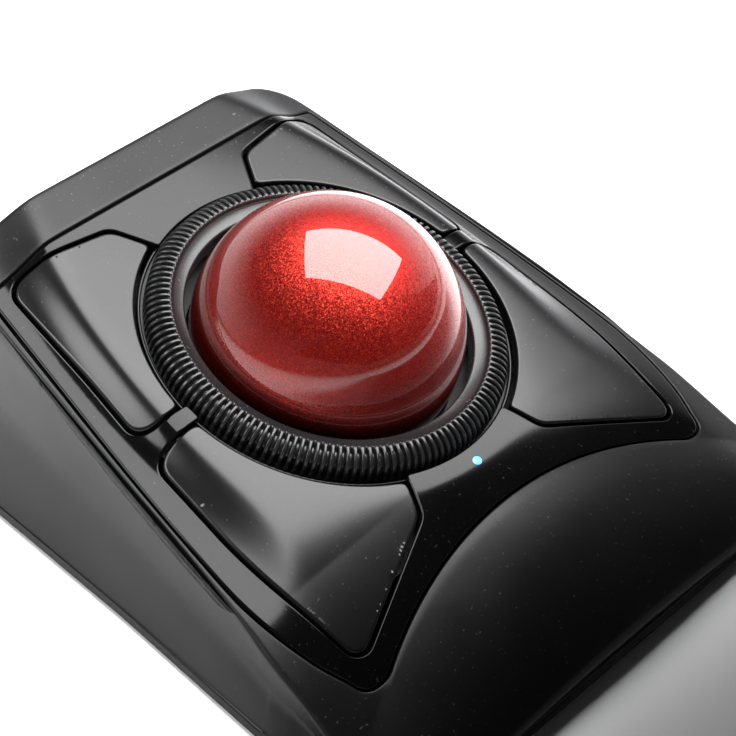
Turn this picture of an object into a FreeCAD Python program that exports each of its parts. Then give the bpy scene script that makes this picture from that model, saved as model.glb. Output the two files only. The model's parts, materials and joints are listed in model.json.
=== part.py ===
import FreeCAD, Part
import math
import os
from FreeCAD import Vector

# Trackball pointing device: a big ball in a tilted deck, a knurled scroll ring round it
# and four large buttons.  World frame: X to the user's right, Y away from the user,
# Z up, origin on the table under the ball's centre.  Millimetres throughout.
#
# The deck frame has its origin at the ball's centre: x is the same as X, v runs away
# from the user along the tilted deck and w stands square to it.

# ---------------------------------------------------------------- driving dimensions
CASE_LENGTH = 156.0         # along Y, at the table
CASE_WIDTH = 130.0          # along X, at the table
DECK_TILT = 18.0            # degrees that the deck rises towards the back
WALL = 2.2                  # moulded outer walls
FOOT_HEIGHT = 1.0           # the case stands this far off the table
FLOOR = 2.5                 # thickness of the base tray
FIT_GAP = 0.25              # between two moulded pieces that drop into each other
THREAD_GAP = 0.05           # round a screw in its pilot hole
RUN_GAP = 0.05              # radial, round a turning shaft
MOVE_GAP = 0.35             # between faces that move past each other

BALL_DIAMETER = 55.0
BALL_GAP = 1.7              # ball to the ring's inner rim
CUP_GAP = 1.0               # ball to its cup
CUP_WALL = 2.0
CUP_STAND = 4.0             # floor of the tray to the lowest point of the cup
BEARING_RADIUS = 1.5
BEARING_GAP = 0.2           # left between the ball and each support bearing

RING_WIDTH = 7.6            # radial width of the scroll ring
RING_RIM = 2.75             # smooth band inside the knurl
RING_HEIGHT = 4.5           # top of the knurl above the ball's centre
RING_INNER_TOP = 2.7        # top of the inner rim above the ball's centre
RING_OUTER_TOP = 0.8        # where the knurl meets its outer wall
KNURL_COUNT = 144
KNURL_DEPTH = 1.0
JOURNAL_WALL = 2.0          # cylindrical skirt under the ring, which turns in the guide
CODE_DISC = 0.9             # thickness of the disc under the ring
CODE_SLOTS = 36

DECK_TOP = 1.0              # flat part of the deck above the ball's centre
DECK_WALL = 2.2
LEDGE = (2.4, 1.2)          # shelf that the deck rests on: width and thickness
COLLAR_WALL = 0.8           # thin collar of the deck round the scroll ring
COLLAR_DROP = 1.3           # collar below the deck's surface where it passes the buttons
BUTTON_GAP = 0.7            # black line between a button and the deck
RIM_WIDTH = 5.3             # strip of deck outside the buttons
SIDE_DROP = 5.5             # flat deck down to the buttons' outer edge
RIM_DROP = 1.6              # buttons' outer edge down to the groove
FRONT_DROP = 1.8925         # fall of the deck from the buttons' inner edge to its front edge
FRONT_HEIGHT = 22.7         # least height of the deck's front edge plane above the table
CREASE_MID = 42.8           # half width of the flat part beside the ball
CREASE_RADIUS = 108.0       # its edge is an arc of this radius
BRIDGE_MID = 0.7            # middle of the strip between front and back buttons
BRIDGE_WIDTH = 3.8

BACK_LEAN = 21.9            # the back wall leans in this far on its way up
BACK_BAND = 11.2            # plain band of the housing behind the deck
APRON_LENGTH = 31.1         # plan length of the housing in front of the deck
TIP_REACH = 12.2            # the deck's front corners reach past its middle
TIP_FRONT = 18.5            # case's half width to where each tip starts to round
SKIRT_TOP = 3.0             # plane where the skirt's surfaces end, above the deck

CHASSIS_TOP = -9.0          # plane of the inner chassis, below the ball's centre
CHASSIS_WALL = 2.0
PIN_RADIUS = 1.0
PIN_HEIGHT = -6.6           # button pins, below the ball's centre
EAR_RADIUS = 2.0
EAR_WIDTH = 3.0
PIN_INSET = 4.8             # from the deck's back groove to the pin's axis
SWITCH_ARM = 14.0           # pin to microswitch plunger
SWITCH_INSET = 4.1          # collar's outer radius to the middle of each microswitch, along x
SWITCH_BODY = (5.8, 12.8, 6.5)
PLUNGER_RADIUS = 0.8
PLUNGER_OUT = 0.9
BOARD_WALL = 1.6
BOARD_HALF_WIDTH = 42.0

CELL_RADIUS = 7.15          # two AA cells
CELL_LENGTH = 49.2
CELL_NUB = (2.75, 1.0)
BAY_WALL = 1.8
BAY_PLAY = 0.4
CONTACT_DEPTH = 2.4
DOOR_WALL = 1.8
DOOR_LIP = 1.6

SCREW_HEAD = (1.9, 1.3)     # small internal screws: head radius and height
SCREW_RADIUS = 1.0
CASE_SCREW_HEAD = (2.7, 1.2)
CASE_SCREW_RADIUS = 1.4
CASE_SCREW_LENGTH = 6.5
POST_RADIUS = 3.6
FOOT_RADIUS = 6.5
FOOT_THICK = 1.3

# ---------------------------------------------------------------- sizes that follow
TILT = math.radians(DECK_TILT)
BALL_RADIUS = BALL_DIAMETER / 2
CUP_INNER = BALL_RADIUS + CUP_GAP
CUP_OUTER = CUP_INNER + CUP_WALL
TRAY_TOP = FOOT_HEIGHT + FLOOR
HALF_LENGTH = CASE_LENGTH / 2
HALF_WIDTH = CASE_WIDTH / 2
# The ball stands high enough for its cup to clear the tray, and for the deck's front
# edge to clear the controls under it.
BALL_HEIGHT = max(TRAY_TOP + CUP_STAND + CUP_OUTER,
                  FRONT_HEIGHT + (HALF_LENGTH - APRON_LENGTH) * math.tan(TILT))

RING_INNER = BALL_RADIUS + BALL_GAP
RING_OUTER = RING_INNER + RING_WIDTH
KNURL_INNER = RING_INNER + RING_RIM
DECK_HOLE = RING_OUTER + MOVE_GAP + 0.15
COLLAR_OUTER = DECK_HOLE + COLLAR_WALL
BUTTON_INNER = COLLAR_OUTER + BUTTON_GAP
SWITCH_X = COLLAR_OUTER - SWITCH_INSET

BACK_TOP = (HALF_LENGTH - BACK_LEAN) / math.cos(TILT)
DECK_BACK = BACK_TOP - BACK_BAND
DECK_FRONT = -(HALF_LENGTH - APRON_LENGTH) / math.cos(TILT)
DECK_TIP = DECK_FRONT - TIP_REACH
FRONT_FALL = FRONT_DROP / (-DECK_FRONT - BUTTON_INNER)
NOSE = -(HALF_LENGTH + BALL_HEIGHT * math.tan(TILT) / 2) / math.cos(TILT)
NOSE_HEIGHT = -(BALL_HEIGHT - TRAY_TOP) * 0.35

# Stations along the deck's side, from its back corner to its front tip, each with the
# distance from the case's half width to the groove.
SIDE_STATIONS = (
    (0.0, 19.0), (0.24, 15.0), (0.44, 11.8), (0.62, 9.5),
    (0.765, 8.5), (0.9, 10.3), (1.0, 14.2),
)
CREASE_SOFTNESS = 1.2
GRID_STEP = 3.0
FAR = 200.0

Z_AXIS = Vector(0, 0, 1)
X_AXIS = Vector(1, 0, 0)


# ---------------------------------------------------------------- shape helpers
def to_world(shape):
    """Carry a shape from the deck frame to the world frame."""
    placed = shape.copy()
    placed.rotate(Vector(0, 0, 0), X_AXIS, DECK_TILT)
    placed.translate(Vector(0, 0, BALL_HEIGHT))
    return placed


def mirrored(shape):
    """The same shape on the other side of the X = 0 plane."""
    return shape.mirror(Vector(0, 0, 0), X_AXIS)


def box(low, high):
    """A box between two corners."""
    size = [b - a for a, b in zip(low, high)]
    return Part.makeBox(*size, Vector(*low))


def disc(radius, low, high, x=0.0, v=0.0):
    """An upright cylinder between two heights."""
    return Part.makeCylinder(radius, high - low, Vector(x, v, low))


def tube(inner, outer, low, high, x=0.0, v=0.0):
    """An upright tube between two heights."""
    return disc(outer, low, high, x, v).cut(disc(inner, low - 1, high + 1, x, v))


def merged(shapes):
    """All shapes fused into one solid, with shared faces cleaned up."""
    shapes = list(shapes)
    whole = shapes[0].multiFuse(shapes[1:]) if len(shapes) > 1 else shapes[0]
    return whole.removeSplitter()


def rounded_wire(corners, height=0.0):
    """A closed outline of straight lines whose corners, given as (x, y, radius), are arcs."""
    count = len(corners)
    edges = []
    starts, ends = [], []
    for i, (x, y, radius) in enumerate(corners):
        here = Vector(x, y, height)
        before = Vector(corners[i - 1][0], corners[i - 1][1], height) - here
        after = Vector(corners[(i + 1) % count][0], corners[(i + 1) % count][1], height) - here
        room = 0.49 * min(before.Length, after.Length)
        half = before.getAngle(after) / 2
        reach = min(radius / math.tan(half), room)
        first = here + before.normalize() * reach
        last = here + after.normalize() * reach
        toward = (before + after).normalize()
        bow = reach / math.cos(half) - reach * math.tan(half)
        starts.append(first)
        ends.append(last)
        edges.append(Part.Arc(first, here + toward * bow, last).toShape())
    outline = []
    for i in range(count):
        outline.append(edges[i])
        outline.append(Part.makeLine(ends[i], starts[(i + 1) % count]))
    return Part.Wire(outline)


def prism(wire, low, high):
    """A straight-sided solid on a flat outline drawn at height zero."""
    face = Part.Face(wire)
    face.translate(Vector(0, 0, low))
    return face.extrude(Vector(0, 0, high - low))


def soft_ramp(distance, softness=CREASE_SOFTNESS):
    """Zero before the crease and the distance after it, with a rounded bend between."""
    if distance > 20 * softness:
        return distance
    return softness * math.log1p(math.exp(distance / softness))


# ---------------------------------------------------------------- the deck's surface
def side_edge(v):
    """Half width of the deck at v: a smooth line through the side's stations."""
    t = (DECK_BACK - v) / (DECK_BACK - DECK_TIP)
    knots = [(s, HALF_WIDTH - inset) for s, inset in SIDE_STATIONS]
    slopes = []
    for i in range(len(knots)):
        a = knots[max(i - 1, 0)]
        b = knots[min(i + 1, len(knots) - 1)]
        slopes.append((b[1] - a[1]) / (b[0] - a[0]))
    if t <= 0:
        return knots[0][1] + slopes[0] * t
    if t >= 1:
        return knots[-1][1] + slopes[-1] * (t - 1)
    i = max(k for k in range(len(knots) - 1) if knots[k][0] <= t)
    span = knots[i + 1][0] - knots[i][0]
    u = (t - knots[i][0]) / span
    low, high = knots[i][1], knots[i + 1][1]
    return (low * (1 + 2 * u) * (1 - u) ** 2 + high * (3 - 2 * u) * u ** 2
            + span * slopes[i] * u * (1 - u) ** 2 - span * slopes[i + 1] * u ** 2 * (1 - u))


def front_edge(x):
    """The concave front edge of the deck, a parabola between its two tips."""
    return DECK_FRONT - TIP_REACH * (x / (HALF_WIDTH - TIP_FRONT)) ** 2


def deck_height(x, v):
    """Height of the deck: flat round the ring, falling beyond a crease at each side
    and, more gently, away from the ring at the front."""
    x = abs(x)
    crease = max(CREASE_MID - v * v / (2 * CREASE_RADIUS), CREASE_MID / 3)
    groove = side_edge(v)
    edge = groove - RIM_WIDTH
    steep = SIDE_DROP / max(edge - crease, 2.0)
    gentle = RIM_DROP / RIM_WIDTH
    side = steep * soft_ramp(x - crease) + (gentle - steep) * soft_ramp(x - edge)
    front = FRONT_FALL * soft_ramp(math.hypot(x, v) - BUTTON_INNER) if v < 0 else 0.0
    front *= min(1.0, max(0.0, -v / BUTTON_INNER))
    blend = 0.4
    more = max(side, front) + blend * math.log1p(math.exp(-abs(side - front) / blend)) - blend * math.log(2)
    return DECK_TOP - max(more, 0.0)


def crown_height(x, v):
    """Height of the housing: level with the deck beside it and behind it, and a smooth
    dome down to the nose in front of it."""
    edge = front_edge(x)
    if v >= edge:
        return deck_height(x, v)
    run = min((edge - v) / (edge - NOSE), 1.0)
    dome = 1.0 - math.sqrt(1.0 - run ** 2.6)
    start = deck_height(x, edge)
    return start - (start - NOSE_HEIGHT) * dome


def height_block(height, low_v, high_v, depth):
    """Everything from a height function down to depth below it, over the whole case."""
    across = int(math.ceil((HALF_WIDTH + GRID_STEP) / GRID_STEP))
    along = int(math.ceil((high_v - low_v) / GRID_STEP))
    rows = []
    for i in range(-across, across + 1):
        x = i * GRID_STEP
        line = [low_v + (high_v - low_v) * j / along for j in range(along + 1)]
        rows.append([Vector(x, v, height(x, v)) for v in line])
    surface = Part.BSplineSurface()
    surface.interpolate(rows)
    return surface.toShape().extrude(Vector(0, 0, -depth))


DECK_BLOCK = height_block(deck_height, DECK_TIP - 6, BACK_TOP + 6, FAR / 2)
DECK_SKIN = height_block(deck_height, DECK_TIP - 6, BACK_TOP + 6, DECK_WALL)
CROWN_BLOCK = height_block(crown_height, NOSE - 9, BACK_TOP + 12, FAR)


# ---------------------------------------------------------------- plan outlines
def deck_outline(offset=0.0):
    """The deck's outline, grown by offset: straight back, gently curved sides, two
    rounded tips and a concave front."""
    flank = Part.BSplineCurve()
    stations = [DECK_BACK + s * (DECK_TIP - DECK_BACK) for s, inset in SIDE_STATIONS[:-1]]
    stations.append(DECK_TIP + 3.5)
    places = [Vector(side_edge(v) + offset, v, 0) for v in stations]
    places[0].y += offset
    flank.interpolate(places)
    tip = HALF_WIDTH - TIP_FRONT - 1.0
    low = Vector(tip, front_edge(tip) - offset, 0)
    nose = Vector(places[-1].x - 1.9 - 0.3 * offset, DECK_TIP + 0.5 - 0.7 * offset, 0)
    round_end = Part.Arc(places[-1], nose, low).toShape()
    front = Part.Arc(low, Vector(0, DECK_FRONT - offset, 0), Vector(-low.x, low.y, 0)).toShape()
    back = Part.makeLine(Vector(-places[0].x, places[0].y, 0), places[0])
    flank = flank.toShape()
    loop = [back, flank, round_end, front, mirrored(round_end), mirrored(flank)]
    return Part.Wire(Part.__sortEdges__(loop))


def back_button_outline(offset=0.0):
    """Right-hand back button, before the ring's circle is taken out of it."""
    near = BRIDGE_MID + BRIDGE_WIDTH / 2 + BUTTON_GAP
    ring = BUTTON_INNER
    back = DECK_BACK - 1.4
    middle = (back + near) / 2 - 4
    corners = [
        (ring * 0.335, ring * 0.83, 0.5),
        (ring * 0.5, DECK_BACK - 4.6, 3.0),
        (side_edge(back) - RIM_WIDTH + 1.4, back, 3.5),
        (side_edge(middle) - RIM_WIDTH + 0.3, middle, 120.0),
        (side_edge(near) - RIM_WIDTH, near, 3.5),
        (ring * 0.77, near, 0.5),
    ]
    wire = rounded_wire(corners)
    return wire.makeOffset2D(offset) if offset else wire


def front_button_outline(offset=0.0):
    """Right-hand front button, before the ring's circle is taken out of it."""
    near = BRIDGE_MID - BRIDGE_WIDTH / 2 - BUTTON_GAP
    ring = BUTTON_INNER
    front = DECK_TIP + 5.0
    middle = (front + near) / 2
    corners = [
        (ring * 0.77, near, 0.5),
        (side_edge(near) - RIM_WIDTH + 0.4, near, 3.5),
        (side_edge(middle) - RIM_WIDTH - 0.4, middle, 110.0),
        (side_edge(front) - RIM_WIDTH + 0.8, front, 2.5),
        (ring * 0.475, DECK_FRONT + 7.1, 4.0),
        (ring * 0.335, -ring * 0.77, 0.5),
    ]
    wire = rounded_wire(corners)
    return wire.makeOffset2D(offset) if offset else wire


def skirt_solid(inset=0.0):
    """The leaning side walls, from the bottom edge up past the deck, as one solid."""
    low = rounded_wire([
        (HALF_WIDTH - 15.0, HALF_LENGTH, 16.0),
        (HALF_WIDTH - 6.4, 0.0, 300.0),
        (HALF_WIDTH, -HALF_LENGTH * 0.58, 60.0),
        (HALF_WIDTH, -HALF_LENGTH, 26.0),
        (-HALF_WIDTH, -HALF_LENGTH, 26.0),
        (-HALF_WIDTH, -HALF_LENGTH * 0.58, 60.0),
        (6.4 - HALF_WIDTH, 0.0, 300.0),
        (15.0 - HALF_WIDTH, HALF_LENGTH, 16.0),
    ])
    wide = side_edge(DECK_TIP * 0.6)
    front = -(HALF_LENGTH + (SKIRT_TOP - 1.0) * math.sin(TILT) - 1.2) / math.cos(TILT)
    high = rounded_wire([
        (side_edge(DECK_BACK) + 0.2, BACK_TOP, 9.0),
        (side_edge(0.0) + 0.3, 0.0, 300.0),
        (wide, DECK_TIP * 0.6, 60.0),
        (wide, front, 24.0),
        (-wide, front, 24.0),
        (-wide, DECK_TIP * 0.6, 60.0),
        (-side_edge(0.0) - 0.3, 0.0, 300.0),
        (-side_edge(DECK_BACK) - 0.2, BACK_TOP, 9.0),
    ])
    if inset:
        low = low.makeOffset2D(-inset)
        high = high.makeOffset2D(-inset)
    low.translate(Vector(0, 0, FOOT_HEIGHT))
    high.translate(Vector(0, 0, SKIRT_TOP))
    return Part.makeLoft([low, to_world(high)], True, True)


# ---------------------------------------------------------------- places shared by pieces
PIN_V = {"back": DECK_BACK - PIN_INSET, "front": DECK_FRONT + 6.3}
SWITCH_V = {"back": PIN_V["back"] - SWITCH_ARM, "front": PIN_V["front"] + SWITCH_ARM}
PIN_X = SWITCH_X - 3.0
EAR_OFFSET = EAR_WIDTH + 0.5
CHASSIS_LOW = CHASSIS_TOP - CHASSIS_WALL
CHASSIS_HALF_WIDTH = CREASE_MID + 0.2
BOARD_TOP = CHASSIS_TOP + 0.1 - SWITCH_BODY[2]
BOARD_LOW = BOARD_TOP - BOARD_WALL
BOARD_HOLE = CUP_OUTER + 2.0
SWITCH_TOP = BOARD_TOP + SWITCH_BODY[2]
PLUNGER_TOP = SWITCH_TOP + PLUNGER_OUT
LED_PLACE = (0.0, DECK_FRONT + 8.8)
LED_HEIGHT = 1.4
LIGHT_RADIUS = 0.9
BOSS_RADIUS = BRIDGE_WIDTH / 2
DECK_BOSSES = [(0.0, DECK_BACK - 4.8), (9.0, DECK_FRONT + 5.3), (-9.0, DECK_FRONT + 5.3),
               (COLLAR_OUTER + 2.6, BRIDGE_MID), (-COLLAR_OUTER - 2.6, BRIDGE_MID)]
BOARD_BOSSES = [(x, v) for x in (-38.5, 38.5) for v in (-12.0, 12.0)]

GUIDE_TOP = -1.5
GUIDE_LOW = -3.6
GUIDE_WALL = 2.0
GUIDE_OUTER = COLLAR_OUTER - 0.3
RING_LOW = GUIDE_TOP + 0.3
JOURNAL_OUTER = RING_INNER + 3.8
DISC_TOP = GUIDE_LOW - 0.5
DISC_LOW = DISC_TOP - CODE_DISC
DISC_OUTER = JOURNAL_OUTER + 1.8
FLANGE_TOP = CHASSIS_TOP + 1.5
FLANGE_OUTER = GUIDE_OUTER - GUIDE_WALL - 0.4
CUP_SCREW_CIRCLE = FLANGE_OUTER - 2.2
CUP_SCREW_ANGLES = (90.0, 210.0, 330.0)

BEARING_POLAR = 55.0
BEARING_ANGLES = (30.0, 150.0, 270.0)
SENSOR_POLAR = 50.0
SENSOR_ANGLE = 90.0
WINDOW_RADIUS = 3.2
SENSOR_POST = (7.0, 1.8)    # half spacing and radius
LENS_LOW = CUP_OUTER + 0.1
SENSOR_LOW = LENS_LOW + 1.3
SENSOR_BOARD_LOW = SENSOR_LOW + 2.2

DOOR_TOP = FOOT_HEIGHT + DOOR_WALL
CELL_HEIGHT = DOOR_TOP + BAY_PLAY + CELL_RADIUS
CELL_PITCH = 2 * CELL_RADIUS + 0.7
BAY_MID = HALF_LENGTH - 27.0
BAY_HALF_X = CELL_LENGTH / 2 + CONTACT_DEPTH
BAY_HALF_Y = CELL_PITCH / 2 + CELL_RADIUS + BAY_PLAY
BAY_TOP = CELL_HEIGHT + CELL_RADIUS + BAY_PLAY

CONTROL_Y = -(HALF_LENGTH - 20.0)
CONTROL_BOARD_LOW = TRAY_TOP + 3.5
CONTROL_POSTS = (-20.0, 20.0)
SLIDER_X = -9.0
SLIDER_KNOB = (6.0, 3.4)
SLIDER_NECK = (3.0, 2.2)
SLIDER_FLANGE = (7.4, 4.6)
SLIDER_TRAVEL = 2.5
PAIR_X = 9.0
PAIR_RADIUS = 2.2
PAIR_FLANGE = 3.2
POST_PLACES = [(side * (HALF_WIDTH - 24.0), HALF_LENGTH - 15.0) for side in (-1, 1)]
POST_PLACES += [(side * (HALF_WIDTH - 17.0), -(HALF_LENGTH - 20.0)) for side in (-1, 1)]


def lowered(block, drop):
    """A height block moved down square to the deck."""
    copy = block.copy()
    copy.translate(Vector(0, 0, -drop))
    return copy


def along(polar, angle):
    """Unit direction from the ball's centre, polar degrees up from straight below."""
    p, a = math.radians(polar), math.radians(angle)
    return Vector(math.sin(p) * math.cos(a), math.sin(p) * math.sin(a), -math.cos(p))


def rod(direction, radius, low, high, aside=0.0):
    """A cylinder on a line out of the ball's centre, optionally shifted along x."""
    return Part.makeCylinder(radius, high - low, direction * low + Vector(aside, 0, 0), direction)


def aimed_box(across, along_size, low, high):
    """A box square to the optical sensor's line of sight, from radius low to high."""
    block = box((-across / 2, -along_size / 2, low), (across / 2, along_size / 2, high))
    block.rotate(Vector(0, 0, 0), X_AXIS, 180.0 + SENSOR_POLAR)
    return block


def screw(head, radius, length, place, downward=False):
    """A plain round-headed screw whose head's seat is at place; it points up, or down."""
    head_radius, head_height = head
    x, v, seat = place
    if downward:
        body = merged([disc(head_radius, seat, seat + head_height, x, v),
                       disc(radius, seat - length, seat, x, v)])
        slot = box((x - head_radius, v - 0.3, seat + head_height - 0.5),
                   (x + head_radius, v + 0.3, seat + 9))
    else:
        body = merged([disc(head_radius, seat - head_height, seat, x, v),
                       disc(radius, seat, seat + length, x, v)])
        slot = box((x - head_radius, v - 0.3, seat - 9),
                   (x + head_radius, v + 0.3, seat - head_height + 0.5))
    return body.cut(slot)


# ---------------------------------------------------------------- housing and base
def make_housing():
    """Matt upper housing: skirt, back band and front apron round the deck's recess."""
    outer = skirt_solid().common(to_world(CROWN_BLOCK))
    roof = to_world(lowered(CROWN_BLOCK, DECK_WALL + LEDGE[1]))
    shell = outer.cut(skirt_solid(WALL).common(roof))
    embedded = to_world(lowered(CROWN_BLOCK, DECK_WALL)).common(skirt_solid(WALL / 2))
    columns = [Part.makeCylinder(POST_RADIUS, FAR, Vector(x, y, TRAY_TOP)) for x, y in POST_PLACES]
    shell = shell.multiFuse([column.common(embedded) for column in columns])
    opening = prism(deck_outline(-LEDGE[0]), CHASSIS_TOP, FAR / 2)
    recess = prism(deck_outline(FIT_GAP), -FAR / 2, FAR / 2).cut(lowered(DECK_BLOCK, DECK_WALL))
    depth = CASE_SCREW_LENGTH + 0.5
    pilots = [Part.makeCylinder(CASE_SCREW_RADIUS + THREAD_GAP, depth, Vector(x, y, TRAY_TOP - 1))
              for x, y in POST_PLACES]
    for tool in [to_world(recess), to_world(opening)] + pilots:
        shell = shell.cut(tool)
    return shell


def tray_controls():
    """Openings in the tray for the mode slider and the pairing button."""
    knob, neck = SLIDER_KNOB, SLIDER_NECK
    reach = SLIDER_TRAVEL + MOVE_GAP
    recess = box((SLIDER_X - knob[0] / 2 - reach, CONTROL_Y - knob[1] / 2 - MOVE_GAP, 0),
                 (SLIDER_X + knob[0] / 2 + reach, CONTROL_Y + knob[1] / 2 + MOVE_GAP, FOOT_HEIGHT + 1.5))
    slot = box((SLIDER_X - neck[0] / 2 - reach, CONTROL_Y - neck[1] / 2 - MOVE_GAP, 0),
               (SLIDER_X + neck[0] / 2 + reach, CONTROL_Y + neck[1] / 2 + MOVE_GAP, TRAY_TOP + 1))
    hole = disc(PAIR_RADIUS + MOVE_GAP, 0, TRAY_TOP + 1, PAIR_X, CONTROL_Y)
    return [recess, slot, hole]


def make_tray():
    """Base tray: floor, battery bay, cup saddle and the underside's recesses."""
    slab = box((-HALF_WIDTH, -HALF_LENGTH, FOOT_HEIGHT), (HALF_WIDTH, HALF_LENGTH, TRAY_TOP))
    under_roof = to_world(lowered(CROWN_BLOCK, DECK_WALL + LEDGE[1] + FIT_GAP))
    floor = slab.common(skirt_solid(WALL + FIT_GAP)).common(under_roof)
    wall_x, wall_y = BAY_HALF_X + BAY_WALL, BAY_HALF_Y + BAY_WALL
    bay = box((-wall_x, BAY_MID - wall_y, TRAY_TOP - 1), (wall_x, BAY_MID + wall_y, BAY_TOP + BAY_WALL))
    saddle = tube(7.0, 9.0, TRAY_TOP - 1, TRAY_TOP + CUP_STAND + 2)
    saddle = saddle.cut(Part.makeSphere(CUP_OUTER + 0.1, Vector(0, 0, BALL_HEIGHT)))
    posts = [disc(2.2, TRAY_TOP - 1, CONTROL_BOARD_LOW, x, CONTROL_Y) for x in CONTROL_POSTS]
    tray = merged([floor, bay, saddle] + posts)
    inside = box((-BAY_HALF_X, BAY_MID - BAY_HALF_Y, 0), (BAY_HALF_X, BAY_MID + BAY_HALF_Y, BAY_TOP))
    lip = DOOR_LIP
    seat = box((-BAY_HALF_X - lip, BAY_MID - BAY_HALF_Y - lip, 0),
               (BAY_HALF_X + lip, BAY_MID + BAY_HALF_Y + lip, DOOR_TOP + 0.1))
    cuts = [inside, seat] + tray_controls()
    for x, y in POST_PLACES:
        head_radius, head_height = CASE_SCREW_HEAD
        cuts.append(disc(FOOT_RADIUS + 0.1, 0, FOOT_THICK, x, y))
        cuts.append(disc(head_radius + 0.3, 0, FOOT_THICK + head_height + 0.1, x, y))
        cuts.append(disc(CASE_SCREW_RADIUS + 0.1, 0, TRAY_TOP + 1, x, y))
    for x in CONTROL_POSTS:
        cuts.append(disc(SCREW_RADIUS + THREAD_GAP, TRAY_TOP, CONTROL_BOARD_LOW + 1, x, CONTROL_Y))
    for tool in cuts:
        tray = tray.cut(tool)
    return tray


def make_door():
    """Battery door: a flat plate with a thumb groove, which drops out of the tray."""
    play = FIT_GAP + 0.05
    half_x, half_y = BAY_HALF_X + DOOR_LIP - play, BAY_HALF_Y + DOOR_LIP - play
    plate = box((-half_x, BAY_MID - half_y, FOOT_HEIGHT), (half_x, BAY_MID + half_y, DOOR_TOP))
    groove = Part.makeCylinder(6.0, 18.0, Vector(-9.0, BAY_MID + half_y - 5.0, FOOT_HEIGHT - 5.2), X_AXIS)
    return plate.cut(groove)


def make_feet():
    """Four round rubber feet, which also cover the case screws."""
    return Part.makeCompound([disc(FOOT_RADIUS, 0, FOOT_THICK, x, y) for x, y in POST_PLACES])


def make_cells():
    """Two AA cells side by side, the second one turned end for end."""
    cells = []
    nub_radius, nub_length = CELL_NUB
    for turn in (1, -1):
        y = BAY_MID + turn * CELL_PITCH / 2
        start = Vector(-turn * CELL_LENGTH / 2, y, CELL_HEIGHT)
        can = Part.makeCylinder(CELL_RADIUS, CELL_LENGTH, start, X_AXIS * turn)
        end = Vector(turn * CELL_LENGTH / 2, y, CELL_HEIGHT)
        nub = Part.makeCylinder(nub_radius, nub_length, end, X_AXIS * turn)
        cells.append(merged([can, nub]))
    return Part.makeCompound(cells)


def make_contacts():
    """Battery contacts: a plate with a pad at each nub, a plate with a coil at each flat end."""
    pieces = []
    sheet = 0.4
    nub_radius, nub_length = CELL_NUB
    for turn in (1, -1):
        y = BAY_MID + turn * CELL_PITCH / 2
        for end in (1, -1):
            outward = X_AXIS * end
            face = BAY_HALF_X - sheet
            plate = box((-sheet / 2, y - 5.5, CELL_HEIGHT - 5), (sheet / 2, y + 5.5, CELL_HEIGHT + 5))
            plate.translate(outward * (face + sheet / 2))
            reach = CELL_LENGTH / 2 + (nub_length if end == turn else 0.0)
            start = Vector(0, y, CELL_HEIGHT) + outward * reach
            if end == turn:
                bump = Part.makeCylinder(nub_radius, face - reach, start, outward)
            else:
                bump = Part.makeCone(3.0, 4.6, face - reach, start, outward)
            pieces.append(merged([plate, bump]))
    return Part.makeCompound(pieces)


# ---------------------------------------------------------------- deck and buttons
def make_deck():
    """Glossy deck: skin with the ring's hole, four button openings, collar and bosses."""
    skin = DECK_SKIN.common(prism(deck_outline(), -FAR / 2, FAR / 2))
    cuts = [disc(DECK_HOLE, -FAR / 2, FAR / 2), disc(LIGHT_RADIUS + 0.1, -FAR / 2, FAR / 2, *LED_PLACE)]
    for outline in (back_button_outline, front_button_outline):
        opening = prism(outline(BUTTON_GAP), -FAR / 2, FAR / 2)
        cuts += [opening, mirrored(opening)]
    for tool in cuts:
        skin = skin.cut(tool)
    collar = tube(DECK_HOLE, COLLAR_OUTER, GUIDE_TOP, DECK_TOP - COLLAR_DROP)
    bosses = [disc(BOSS_RADIUS, CHASSIS_TOP, FAR / 4, x, v) for x, v in DECK_BOSSES]
    embedded = lowered(DECK_BLOCK, DECK_WALL / 2)
    deck = merged([skin, collar] + [boss.common(embedded) for boss in bosses])
    for x, v in DECK_BOSSES:
        deck = deck.cut(disc(SCREW_RADIUS + THREAD_GAP, CHASSIS_TOP - 1, CHASSIS_TOP + 5.2, x, v))
    return to_world(deck)


def make_button(row):
    """Right-hand button of a row: curved plate, two pin ears and a switch post."""
    outline = {"back": back_button_outline, "front": front_button_outline}[row]
    toward_ring = {"back": -1, "front": 1}[row]
    pin_v, switch_v = PIN_V[row], SWITCH_V[row]
    plate = DECK_SKIN.common(prism(outline(), -FAR / 2, FAR / 2)).cut(disc(BUTTON_INNER, -FAR, FAR))
    embedded = lowered(DECK_BLOCK, DECK_WALL / 2)
    additions, bores = [], []
    for x in (PIN_X - EAR_OFFSET, PIN_X + EAR_OFFSET):
        low_x = x - EAR_WIDTH / 2
        sides = sorted((pin_v + toward_ring * EAR_RADIUS, pin_v))
        neck = box((low_x, sides[0], PIN_HEIGHT), (low_x + EAR_WIDTH, sides[1], FAR / 4)).common(embedded)
        ear = Part.makeCylinder(EAR_RADIUS, EAR_WIDTH, Vector(low_x, pin_v, PIN_HEIGHT), X_AXIS)
        additions += [neck, ear]
        start = Vector(low_x - 1, pin_v, PIN_HEIGHT)
        bores.append(Part.makeCylinder(PIN_RADIUS + RUN_GAP, EAR_WIDTH + 2, start, X_AXIS))
    foot = PLUNGER_TOP + 0.15
    post = box((SWITCH_X - 1.4, switch_v - 1.4, foot), (SWITCH_X + 1.4, switch_v + 1.4, FAR / 4))
    button = merged([plate, post.common(embedded)] + additions)
    for bore in bores:
        button = button.cut(bore)
    return to_world(button)


def make_pins():
    """Four steel pins that the buttons rock on."""
    length = 2 * EAR_OFFSET + EAR_WIDTH
    pins = []
    for v in PIN_V.values():
        for side in (1, -1):
            start = Vector(side * PIN_X - length / 2, v, PIN_HEIGHT)
            pins.append(to_world(Part.makeCylinder(PIN_RADIUS, length, start, X_AXIS)))
    return Part.makeCompound(pins)


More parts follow.
